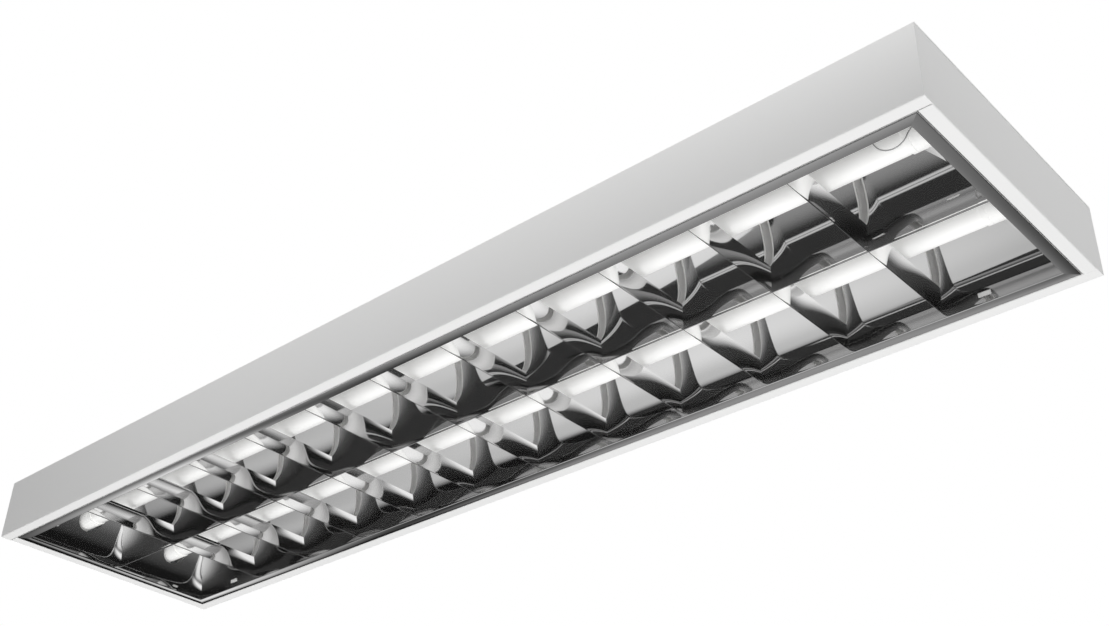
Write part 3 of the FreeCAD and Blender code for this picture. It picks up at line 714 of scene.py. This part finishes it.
@dataclass
class Louvre:
    """The bright louvre: side, end and centre mirrors and the cross blades."""

    bench: Bench
    profile: Profile = field(default_factory=Profile)
    blades: int = 11
    pitch: float = 0.0967
    blade_slope: float = 0.03
    blade_focus: float = 0.030
    blade_height: float = 0.022
    blade_sheet: float = 0.0004
    blade_steps: int = 20        # points up a blade's wall
    hem: float = 0.0013          # width of the lips along a blade's top
    notch: float = 0.017         # radius of a notch, round the tube's axis
    notch_steps: int = 48
    notch_run: float = 0.06      # length of the form that cuts it
    notch_inset: float = 0.040   # light's end to the middle of that form
    axis_height: float = 0.0454
    row: float = 0.0625          # middle of the light to a tube's axis
    clip_reach: float = 0.525    # middle of the light to a spring
    clip_width: float = 0.0126
    tongue_slot: tuple[float, float] = (0.0099, 0.0109)   # heights of its slot in the mirror
    tongue_half: float = 0.0015                           # half depth of that slot
    leg_gap: tuple[float, float] = (0.0014, 0.012)        # heights of its gap in the upstand
    leg_in: float = 0.0011                                # louvre's edge in to the gap's side
    leg_out: float = 0.001                                # and out to its other side
    cord_y: float = -0.100
    cord_height: float = 0.0236
    cord_hole: float = 0.0013    # radius of a cord's hole
    hole_turns: int = 24
    hole_run: float = 0.04       # length of the form that cuts it
    hole_inset: float = 0.030    # light's end to the middle of that form

    def build(self) -> None:
        """Builds every piece of the louvre."""
        for side in Side:
            self.side_mirror(side)
        for end in End:
            self.end_mirror(end)
        self.centre_mirror()
        for index in range(self.blades):
            self.blade(index)

    def mitred(self, half_run: float) -> bmesh.types.BMesh:
        """Makes a mirror along X with mitred ends, its outer edge at Y = 0 and its rim at Z = 0.

        Args:
            half_run: Half length along its outer edge.

        Returns:
            The mesh.
        """
        bm = extrude_outline(self.profile.side_outline(), 2 * half_run)
        trim_ends(bm, lambda point: half_run - point.y)
        return bm

    def side_mirror(self, side: Side) -> None:
        """Builds one long mirror with the slots and gaps of its springs.

        Args:
            side: Front or back.
        """
        p = self.profile
        bm = self.mitred(p.louvre_x)
        turn = 0 if side is Side.FRONT else 180
        turn_and_place(bm, turn, (0, side.value * p.louvre_y, p.rim))
        name = "side_mirror_" + side.name.lower()
        obj = self.bench.piece("bright", name, bm, Slot.MIRROR, "louvre")
        face, edge = p.half_width - p.foot(self.tongue_slot[0]), p.louvre_y
        for end in End:
            x = end.value * self.clip_reach
            slot = (face - self.tongue_half, face + self.tongue_half)
            self.clip_cut(obj, side, x, slot, self.tongue_slot)
            self.clip_cut(obj, side, x, (edge - self.leg_in, edge + self.leg_out), self.leg_gap)
        mark_back(obj)

    def clip_cut(self, obj: bpy.types.Object, side: Side, x: float, across: tuple[float, float],
                 rise: tuple[float, float]) -> None:
        """Cuts room for a part of a spring out of a side mirror.

        Args:
            obj: The mirror.
            side: Front or back.
            x: Place of the spring.
            across: Least and greatest distance from the middle of the light.
            rise: Least and greatest height over the rim.
        """
        half, rim = self.clip_width / 2, self.profile.rim
        ys = sorted(side.value * y for y in across)
        low, high = (x - half, ys[0], rim + rise[0]), (x + half, ys[1], rim + rise[1])
        cut_with(obj, box_mesh(low, high))

    def end_mirror(self, end: End) -> None:
        """Builds one end mirror with a notch round each tube and the hole of the safety cord.

        Args:
            end: Left or right.
        """
        p = self.profile
        bm = self.mitred(p.louvre_y)
        turn = 90 if end is End.RIGHT else -90
        turn_and_place(bm, turn, (end.value * p.louvre_x, 0, p.rim))
        name = "end_mirror_" + end.name.lower()
        obj = self.bench.piece("bright", name, bm, Slot.MIRROR, "louvre")
        for side in Side:
            cut_with(obj, self.notch_form(end, side.value * self.row))
        hole = bmesh.new()
        along_x = Matrix.Rotation(math.radians(90), 4, "Y")
        bmesh.ops.create_cone(hole, cap_ends=True, segments=self.hole_turns, depth=self.hole_run,
                              radius1=self.cord_hole, radius2=self.cord_hole, matrix=along_x)
        x = end.value * (p.half_length - self.hole_inset)
        place = (x, self.cord_y, p.rim + self.cord_height)
        bmesh.ops.translate(hole, verts=hole.verts, vec=place)
        cut_with(obj, hole)
        mark_back(obj)

    def notch_form(self, end: End, y: float) -> bmesh.types.BMesh:
        """Makes the volume that a notch takes out: half round below, open above.

        Args:
            end: Left or right.
            y: Place of the tube's axis.

        Returns:
            The cutter's mesh.
        """
        p, r, steps = self.profile, self.notch, self.notch_steps
        z = p.rim + self.axis_height
        angles = [math.pi + math.pi * i / steps for i in range(steps + 1)]
        outline = [(y + r * math.cos(a), z + r * math.sin(a)) for a in angles]
        outline += [(y + r, 0.0), (y - r, 0.0)]
        bm = extrude_outline(outline, self.notch_run)
        x = end.value * (p.half_length - self.notch_inset)
        bmesh.ops.translate(bm, verts=bm.verts, vec=(x, 0, 0))
        return bm

    def trough(self, slope: float, focus: float, sheet: float, top: float, steps: int,
               hem: float = 0.0) -> list:
        """Outlines a trough of two parabolic walls, with or without lips turned in at the top.

        Args:
            slope: Lean of the walls at the lower fold, as a slope.
            focus: Focal length of the walls.
            sheet: Thickness of the walls.
            top: Height of the upper edges.
            steps: Points up each wall.
            hem: Width of the lips, or 0 for none.

        Returns:
            Closed outline as (across, height) pairs.
        """
        tilt = math.atan(slope)
        across = sheet / math.cos(tilt)
        radius = across / math.cos(tilt)
        low = self.profile.fold_height + radius * (1 - math.sin(tilt))

        def wall(shift: float, sign: int, count: int) -> list:
            """Returns points up one face of a wall."""
            rises = [(top - low) * i / count for i in range(count + 1)]
            return [(sign * (shift + slope * h + h ** 2 / (4 * focus)), low + h) for h in rises]

        right = wall(across, 1, steps)
        left = wall(across, -1, steps)[::-1]
        half = right[-1][0]
        inner_top = top - sheet if hem else top
        inner_right = [q for q in wall(0.0, 1, steps) if q[1] <= inner_top][::-1]
        inner_left = [(-y, z) for y, z in inner_right[::-1]][1:]
        lip_right = [(half - hem, top), (half - hem, top - sheet)] if hem else []
        lip_left = [(hem - half, top - sheet), (hem - half, top)] if hem else []
        turn = math.degrees(tilt)
        middle = (0.0, low + radius * math.sin(tilt))
        fold = self.profile.arc(middle, radius, 180 + turn, 360 - turn)[1:-1]
        return right + lip_right + inner_right + inner_left + lip_left + left + fold

    def centre_mirror(self) -> None:
        """Builds the V-shaped mirror between the tubes, its ends cut to the end mirrors."""
        p = self.profile
        outline = self.trough(p.slope, p.focus, p.sheet, p.top, p.steps)
        bm = extrude_outline(outline, 2 * p.half_length)
        trim_ends(bm, lambda point: p.half_length - p.foot(point.z))
        bmesh.ops.translate(bm, verts=bm.verts, vec=(0, 0, p.rim))
        mark_back(self.bench.piece("bright", "centre_mirror", bm, Slot.MIRROR, "louvre"))

    def blade(self, index: int) -> None:
        """Builds one cross blade, its ends cut to the side mirrors.

        Args:
            index: Number of the blade from the left end.
        """
        p = self.profile
        top = p.fold_height + self.blade_height
        outline = self.trough(self.blade_slope, self.blade_focus, self.blade_sheet, top,
                              self.blade_steps, self.hem)
        bm = extrude_outline(outline, 2 * p.half_width)
        trim_ends(bm, lambda point: p.half_width - p.foot(point.z))
        x = (index - (self.blades - 1) / 2) * self.pitch
        turn_and_place(bm, 90, (x, 0, p.rim))
        name = "cross_blade_%02d" % (index + 1)
        mark_back(self.bench.piece("bright", name, bm, Slot.MIRROR, "louvre"))


@dataclass
class Tubes:
    """The two tubes with their caps."""

    bench: Bench
    row: float = 0.0625
    axis: float = -0.0266
    half: float = 0.5997
    radius: float = 0.0128
    glass_end: float = 0.004     # cap's face to the end of the glass
    draw: float = 0.0004         # how much thinner the glass is inside its cap
    neck: float = 0.001          # cap's rim to the thin part, outside the cap
    shoulder: float = 0.002      # length over which the glass gets thin
    cap_radius: float = 0.0136
    cap_length: float = 0.038
    cap_round: float = 0.0012
    round_points: int = 7
    cap_floor: float = 0.003
    cap_fit: float = 0.00005     # glass to the cap's bore
    groove: float = 0.0003       # depth of the groove
    groove_places: tuple[float, float, float, float] = (0.0050, 0.0053, 0.0061, 0.0064)
    turns: int = 96              # facets round a tube

    def build(self) -> None:
        """Builds both tubes and their four caps."""
        for side in Side:
            self.glass(side)
            for end in End:
                self.cap(side, end)

    def lathe(self, outline: list, y: float) -> bmesh.types.BMesh:
        """Spins an outline of (X, radius) pairs round a tube's axis.

        Args:
            outline: Its points, the first and the last on the axis.
            y: Place of the axis.

        Returns:
            The closed mesh.
        """
        bm = bmesh.new()
        verts = [bm.verts.new((x, 0, r)) for x, r in outline]
        edges = [bm.edges.new(pair) for pair in zip(verts, verts[1:])]
        bmesh.ops.spin(bm, geom=verts + edges, cent=(0, 0, 0), axis=(1, 0, 0), angle=math.tau,
                       steps=self.turns, use_merge=True)
        bmesh.ops.remove_doubles(bm, verts=bm.verts, dist=MERGE)
        bmesh.ops.translate(bm, verts=bm.verts, vec=(0, y, self.axis))
        return bm

    def glass(self, side: Side) -> None:
        """Builds the glass of one tube, drawn in a little where it enters its caps.

        Args:
            side: Front or back.
        """
        reach = self.half - self.glass_end
        neck = self.half - self.cap_length - self.neck
        full, thin = self.radius, self.radius - self.draw
        outline = [(-reach, 0.0), (-reach, thin), (-neck, thin), (-neck + self.shoulder, full),
                   (neck - self.shoulder, full), (neck, thin), (reach, thin), (reach, 0.0)]
        row = side.name.lower()
        bm = self.lathe(outline, side.value * self.row)
        self.bench.piece("frosted", "tube_glass_" + row, bm, Slot.GLASS, "lamp_" + row, crease=40.0)

    def cap(self, side: Side, end: End) -> None:
        """Builds one cap: a cup with a round edge and a shallow groove near its rim.

        Args:
            side: Front or back.
            end: Left or right.
        """
        start, stop = self.half - self.cap_length, self.half
        inside, bore = stop - self.cap_floor, self.radius + self.cap_fit
        r, low, edge = self.cap_radius, self.cap_radius - self.groove, self.cap_round
        a, b, c, d = (start + place for place in self.groove_places)
        outline = [(inside, 0.0), (inside, bore), (start, bore), (start, low),
                   (start + self.groove, r), (a, r), (b, low), (c, low), (d, r)]
        last = self.round_points - 1
        for turn in [math.pi / 2 * i / last for i in range(last + 1)]:
            outline.append((stop - edge * (1 - math.sin(turn)), r - edge * (1 - math.cos(turn))))
        outline.append((stop, 0.0))
        row = side.name.lower()
        name = "tube_cap_%s_%s" % (row, end.name.lower())
        bm = self.lathe([(end.value * x, q) for x, q in outline], side.value * self.row)
        # The caps take the tube's finish, painted glow included.
        self.bench.piece("moulded", name, bm, Slot.GLASS, "lamp_" + row, crease=35.0)


@dataclass
class SafetyCords:
    """The two cords that hold the louvre when it is down."""

    bench: Bench
    rim: float = -0.072
    front: float = -0.150
    radius: float = 0.0006
    sheet: float = 0.0007
    hook: float = 0.004
    hook_y: float = 0.044        # rim's edge to a hook
    hook_z: float = 0.058
    hole_y: float = 0.050        # rim's edge to the hole in an end mirror
    hole_z: float = 0.0236
    face: float = 0.03268        # light's end to the end mirror's face at the hole
    knot_y: float = 0.04137      # rim's edge to the right cord's knot
    end_x: float = 0.620
    right_length: float = 0.1143
    left_length: float = 0.0807
    ring_steps: int = 3          # fineness round a cord
    span_steps: int = 10         # points between two points of its route
    louvre_inset: float = 0.028  # light's end to where a cord follows the louvre

    def right_route(self) -> list:
        """Returns the points of the right cord, from its hook to its knot."""
        hook, hole, z = self.front + self.hook_y, self.front + self.hole_y, self.rim
        wall, face = self.end_x - self.sheet, self.end_x - self.face
        return [(wall - self.hook, hook, z + self.hook_z), (wall - 0.0103, hook, z + self.hook_z),
                (wall - 0.0163, hook + 0.001, z + 0.042), (face + 0.0145, hook + 0.003, z + 0.030),
                (face + 0.0105, hole, z + self.hole_z), (face - 0.0040, hole, z + self.hole_z),
                (face - 0.0115, hole, z + 0.011), (face - 0.022, hole, z + 0.0085),
                (face - 0.032, hole - 0.001, z + 0.0125), (face - 0.037, hole - 0.004, z + 0.022),
                (face - 0.038, self.front + self.knot_y, z + 0.033)]

    def left_route(self) -> list:
        """Returns the points of the left cord, from its hook to its knot."""
        hook, hole, z = self.front + self.hook_y, self.front + self.hole_y, self.rim
        wall, face = self.sheet - self.end_x, self.face - self.end_x
        return [(wall + self.hook, hook, z + self.hook_z), (wall + 0.0108, hook, z + self.hook_z),
                (wall + 0.0136, hook - 0.004, z + 0.042), (wall + 0.0143, hook - 0.008, z + 0.027),
                (wall + 0.0153, hook - 0.005, z + 0.015), (wall + 0.0168, hook + 0.003, z + 0.013),
                (face - 0.013, hole, z + 0.018), (face - 0.0075, hole, z + self.hole_z),
                (face + 0.0024, hole, z + self.hole_z)]

    def build(self) -> None:
        """Builds both cords, each from its hook to the louvre."""
        self.cord(End.RIGHT, self.right_route())
        self.cord(End.LEFT, self.left_route())

    def cord(self, end: End, route: list) -> None:
        """Builds one cord as a round tube along a smooth line.

        Args:
            end: Left or right.
            route: Its points.
        """
        name = "safety_cord_" + end.name.lower()
        curve = bpy.data.curves.new(name, "CURVE")
        curve.dimensions = "3D"
        curve.bevel_depth = self.radius
        curve.bevel_resolution = self.ring_steps
        curve.use_fill_caps = True
        curve.resolution_u = self.span_steps
        spline = curve.splines.new("NURBS")
        spline.points.add(len(route) - 1)
        for point, place in zip(spline.points, route):
            point.co = (*place, 1.0)
        spline.order_u = 3
        spline.use_endpoint_u = True
        carrier = link_new(name, curve)
        tube = evaluated_mesh(carrier)
        curve.bevel_depth = 0.0
        line = evaluated_mesh(carrier)
        bpy.data.objects.remove(carrier)
        bm = bmesh.new()
        bm.from_mesh(tube)
        for mesh in (line, tube):
            bpy.data.meshes.remove(mesh)
        obj = self.bench.piece("nylon", name, bm, Slot.NYLON, crease=60.0)
        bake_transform(obj)


@dataclass(frozen=True)
class Panel:
    """A soft-edged patch on the tent, in slopes seen from the light: x and y over depth.

    A level below zero makes a darker patch.
    """

    level: float
    middle: tuple[float, float]
    half: tuple[float, float]
    soft: float
    turn: float = 0.0            # degrees

    def strength(self, g: Graph, slope_x: bpy.types.NodeSocket,
                 slope_y: bpy.types.NodeSocket) -> bpy.types.NodeSocket:
        """Adds the nodes of the patch.

        Args:
            g: The tent's graph.
            slope_x: Socket with x over depth.
            slope_y: Socket with y over depth.

        Returns:
            The socket with the patch's strength.
        """
        angle = math.radians(self.turn)
        c, s = math.cos(angle), math.sin(angle)
        parts = []
        for (fx, fy), half in zip(((c, s), (-s, c)), self.half):
            offset = self.middle[0] * fx + self.middle[1] * fy
            along = g.sum(g.times(slope_x, fx), g.times(slope_y, fy))
            away = g.math("ABSOLUTE", g.math("SUBTRACT", along, offset))
            parts.append(g.fade(away, half + self.soft / 2, half - self.soft / 2))
        return g.times(g.product(*parts), self.level)


@dataclass(frozen=True)
class Wash:
    """A panel near one wall of the housing, seen by matt surfaces only."""

    name: str
    level: float
    place: tuple[float, float, float]
    half: tuple[float, float]    # half sizes
    turn: float                  # about Z, in degrees
    tilt: float                  # from level, in degrees


@dataclass
class Room:
    """Pale floor, soft world, and the tent that the mirrors see: soft panels on darker cloth."""

    floor_z: float = -6.0
    floor_half: float = 30.0
    floor_cells: int = 8
    floor_tone: float = 0.8
    floor_roughness: float = 0.9
    floor_glow: float = 0.6
    tent_r: float = 4.0
    tent_cells: tuple[int, int] = (64, 48)
    tent_top: float = 0.02
    least_depth: float = 0.02    # keeps slopes finite at the tent's edge
    cloth: float = 0.008
    glow: float = 0.08           # cloth near the middle, lit by the panels
    glow_slope: float = 2.5      # where that ends
    # The world's fill: heights of a direction where a ramp starts and ends, and its two levels.
    fill_low: tuple[float, float, float, float] = (-0.95, -0.25, 1.75, 0.12)
    fill_high: tuple[float, float, float, float] = (0.4, 1.0, 0.0, 0.8)
    washes: tuple[Wash, ...] = (
        Wash("front_wash", 1.35, (0.224, -0.351, 0.064), (0.675, 0.060), 9.0, 80.0),
        Wash("end_wash", 1.3, (0.930, 0.100, 0.000), (0.200, 0.060), 90.0, 90.0),
    )
    flag_size: tuple[float, float] = (0.78, 0.6)
    flag_skew: float = 0.2       # slope of the flag's far edge
    flag_place: tuple[float, float, float] = (0.23, -0.52, -0.16)
    flag_level: float = 0.028
    spill_level: float = 0.22    # light that spills over the flag's edge
    spill: tuple[float, float] = (-0.122, -0.165)         # where it is bright and where it ends
    spill_edge: float = 0.002
    strip_level: float = 0.50    # bright strip across the flag
    strip_y: float = -0.203
    strip_turn: float = 0.05
    strip_half: float = 0.010
    strip_edge: tuple[float, float] = (1.3, 0.7)          # shares of the half, dark and bright
    strip_start: tuple[float, float] = (0.18, 0.21)
    seam_edge: tuple[float, float] = (0.3, 0.1)           # the same for the seam along it
    seam_dark: float = 0.7
    panels: tuple[Panel, ...] = (
        Panel(0.285, (-0.47, 0.07), (0.78, 0.92), 1.05, 38.0),
        Panel(0.48, (-1.00, -1.29), (0.94, 0.93), 1.10, 14.0),
        Panel(0.90, (1.75, -0.34), (0.72, 0.32), 0.32, -14.0),
        Panel(1.01, (-2.30, 1.32), (0.70, 0.16), 0.84, -39.0),
        Panel(0.26, (-0.83, 2.32), (0.89, 0.85), 0.77, 59.0),
        Panel(0.62, (0.42, -0.08), (0.46, 0.22), 0.24),
        Panel(-0.14, (-0.45, 0.33), (0.65, 0.16), 0.20),
    )

    def build(self) -> None:
        """Builds the floor, the tent, the flag, the washes and the world."""
        self.floor()
        self.tent()
        self.flag()
        for wash in self.washes:
            self.wash(wash)
        self.world()

    def stage(self, name: str, bm: bmesh.types.BMesh,
              material: bpy.types.Material) -> bpy.types.Object:
        """Makes a piece of the room from a bmesh.

        Args:
            name: Name of the piece.
            bm: Its mesh, freed here.
            material: Its material.

        Returns:
            The piece.
        """
        mesh = to_mesh(name, bm)
        obj = link_new(name, mesh)
        mesh.materials.append(material)
        return obj

    def only_mirrors(self, obj: bpy.types.Object) -> None:
        """Lets only reflections see a piece of the room.

        Args:
            obj: The piece.
        """
        obj.visible_camera = False
        obj.visible_diffuse = False
        obj.visible_transmission = False
        obj.visible_shadow = False
        obj.visible_volume_scatter = False

    def floor(self) -> None:
        """Builds the pale floor."""
        bm = bmesh.new()
        bmesh.ops.create_grid(bm, x_segments=self.floor_cells, y_segments=self.floor_cells,
                              size=self.floor_half)
        bmesh.ops.translate(bm, verts=bm.verts, vec=(0, 0, self.floor_z))
        g = Graph("pale_floor")
        g.shader.inputs["Roughness"].default_value = self.floor_roughness
        g.shader.inputs["Base Color"].default_value = (*[self.floor_tone] * 3, 1.0)
        g.shader.inputs["Emission Color"].default_value = (1.0, 1.0, 1.0, 1.0)
        g.shader.inputs["Emission Strength"].default_value = self.floor_glow
        obj = self.stage("floor", bm, g.material)
        obj.visible_diffuse = False
        obj.visible_glossy = False

    def tent(self) -> None:
        """Builds the tent below the light, seen by reflections only."""
        bm = bmesh.new()
        around, down = self.tent_cells
        bmesh.ops.create_uvsphere(bm, u_segments=around, v_segments=down, radius=self.tent_r)
        above = [v for v in bm.verts if v.co.z > self.tent_top]
        bmesh.ops.delete(bm, geom=above, context="VERTS")
        bmesh.ops.reverse_faces(bm, faces=bm.faces)
        g = Graph("tent_cloth")
        x, y, z = g.axes()
        depth = g.math("MAXIMUM", g.times(z, -1.0), self.least_depth)
        slope_x = g.math("DIVIDE", x, depth)
        slope_y = g.math("DIVIDE", y, depth)
        away = g.math("SQRT", g.sum(g.product(slope_x, slope_x), g.product(slope_y, slope_y)))
        total = g.sum(g.times(g.fade(away, self.glow_slope, 0.0), self.glow), self.cloth)
        for panel in self.panels:
            total = g.sum(total, panel.strength(g, slope_x, slope_y))
        g.emit(total)
        self.only_mirrors(self.stage("tent", bm, g.material))

    def flag(self) -> None:
        """Builds the dark flag below the front right, seen by reflections only."""
        bm = bmesh.new()
        bmesh.ops.create_grid(bm, x_segments=1, y_segments=1, size=0.5)
        bmesh.ops.scale(bm, verts=bm.verts, vec=(*self.flag_size, 1.0))
        half = self.flag_size[0] / 2
        for vert in bm.verts:
            vert.co.y += self.flag_skew * (vert.co.x + half) if vert.co.y > 0 else 0.0
        bmesh.ops.translate(bm, verts=bm.verts, vec=self.flag_place)
        g = Graph("flag_cloth")
        x, y, _ = g.axes()
        first, last = self.spill
        spill = g.product(g.fade(y, last, first), g.fade(y, first + self.spill_edge, first))
        away = g.math("ABSOLUTE", g.sum(g.sum(y, g.times(x, -self.strip_turn)), -self.strip_y))
        across, along = ([share * self.strip_half for share in edge]
                         for edge in (self.strip_edge, self.seam_edge))
        strip = g.product(g.fade(away, *across), g.fade(x, *self.strip_start))
        seam = g.sum(g.times(g.fade(away, *along), -self.seam_dark), 1.0)
        strip = g.times(g.product(strip, seam), self.strip_level)
        g.emit(g.sum(g.sum(g.times(spill, self.spill_level), strip), self.flag_level))
        self.only_mirrors(self.stage("flag", bm, g.material))

    def wash(self, wash: Wash) -> None:
        """Builds a panel that lights a wall of the housing, seen by matt surfaces only.

        Args:
            wash: The panel's level, place and size.
        """
        bm = bmesh.new()
        bmesh.ops.create_grid(bm, x_segments=1, y_segments=1, size=1.0)
        bmesh.ops.scale(bm, verts=bm.verts, vec=(*wash.half, 1.0))
        turn = Matrix.Rotation(math.radians(wash.turn), 3, "Z")
        tilt = Matrix.Rotation(math.radians(wash.tilt), 3, "X")
        bmesh.ops.rotate(bm, verts=bm.verts, cent=(0, 0, 0), matrix=turn @ tilt)
        bmesh.ops.translate(bm, verts=bm.verts, vec=wash.place)
        g = Graph(wash.name)
        g.emit(wash.level)
        obj = self.stage(wash.name, bm, g.material)
        obj.visible_camera = False
        obj.visible_glossy = False
        obj.visible_transmission = False
        obj.visible_shadow = False

    def world(self) -> None:
        """Builds the world: white to the camera and reflections, and a soft fill for the rest."""
        world = bpy.data.worlds.new("studio")
        bpy.context.scene.world = world
        world.use_nodes = True
        tree, links = world.node_tree, world.node_tree.links
        tree.nodes.clear()
        kinds = ("OutputWorld", "Background", "LightPath", "TexCoord", "SeparateXYZ", "Mix",
                 "Math", "Math", "Math")
        nodes = [tree.nodes.new("ShaderNode" + kind) for kind in kinds]
        out, back, path, coord, split, pick, fill, seen, clear = nodes
        fill.operation, seen.operation, clear.operation = "ADD", "MAXIMUM", "MAXIMUM"
        back.inputs["Color"].default_value = (1.0, 1.0, 1.0, 1.0)
        pick.inputs[MIX_VALUES[1]].default_value = 1.0
        links.new(coord.outputs["Generated"], split.inputs[0])
        for index, values in enumerate((self.fill_low, self.fill_high)):
            ramp = tree.nodes.new("ShaderNodeMapRange")
            for name, value in zip(("From Min", "From Max", "To Min", "To Max"), values):
                ramp.inputs[name].default_value = value
            links.new(split.outputs["Z"], ramp.inputs["Value"])
            links.new(ramp.outputs["Result"], fill.inputs[index])
        links.new(fill.outputs[0], pick.inputs[MIX_VALUES[0]])
        links.new(path.outputs["Is Camera Ray"], seen.inputs[0])
        links.new(path.outputs["Is Glossy Ray"], seen.inputs[1])
        links.new(seen.outputs[0], clear.inputs[0])
        links.new(path.outputs["Is Transmission Ray"], clear.inputs[1])
        links.new(clear.outputs[0], pick.inputs[MIX_FACTOR])
        links.new(pick.outputs[0], back.inputs["Strength"])
        links.new(back.outputs["Background"], out.inputs["Surface"])


@dataclass
class PhotoCamera:
    """Camera below the right front corner, looking up along the light."""

    place: tuple[float, float, float] = (0.9631, -0.9111, -0.7739)
    right: tuple[float, float, float] = (0.7482, 0.6631, 0.0239)
    up: tuple[float, float, float] = (0.3425, -0.4168, 0.8420)
    back: tuple[float, float, float] = (0.5682, -0.6218, -0.5389)
    lens: float = 47.45
    sensor: float = 36.0
    near: float = 0.01
    far: float = 100.0

    def build(self) -> None:
        """Makes the camera and sets it as the scene's."""
        data = bpy.data.cameras.new("camera")
        data.lens = self.lens
        data.sensor_width = self.sensor
        data.clip_start = self.near
        data.clip_end = self.far
        obj = link_new("camera", data)
        turn = Matrix((self.right, self.up, self.back)).transposed()
        obj.matrix_world = Matrix.Translation(self.place) @ turn.normalized().to_4x4()
        bpy.context.scene.camera = obj


def main() -> None:
    """Builds the pieces, the room and the camera in order."""
    logging.basicConfig(level=logging.INFO, format="%(name)s: %(message)s")
    bpy.context.scene.view_settings.view_transform = "Standard"
    PhotoCamera().build()
    bench = Bench()
    bench.dress_parts()
    SafetyCords(bench).build()
    Louvre(bench).build()
    Tubes(bench).build()
    Room().build()


if __name__ == "__main__":
    main()
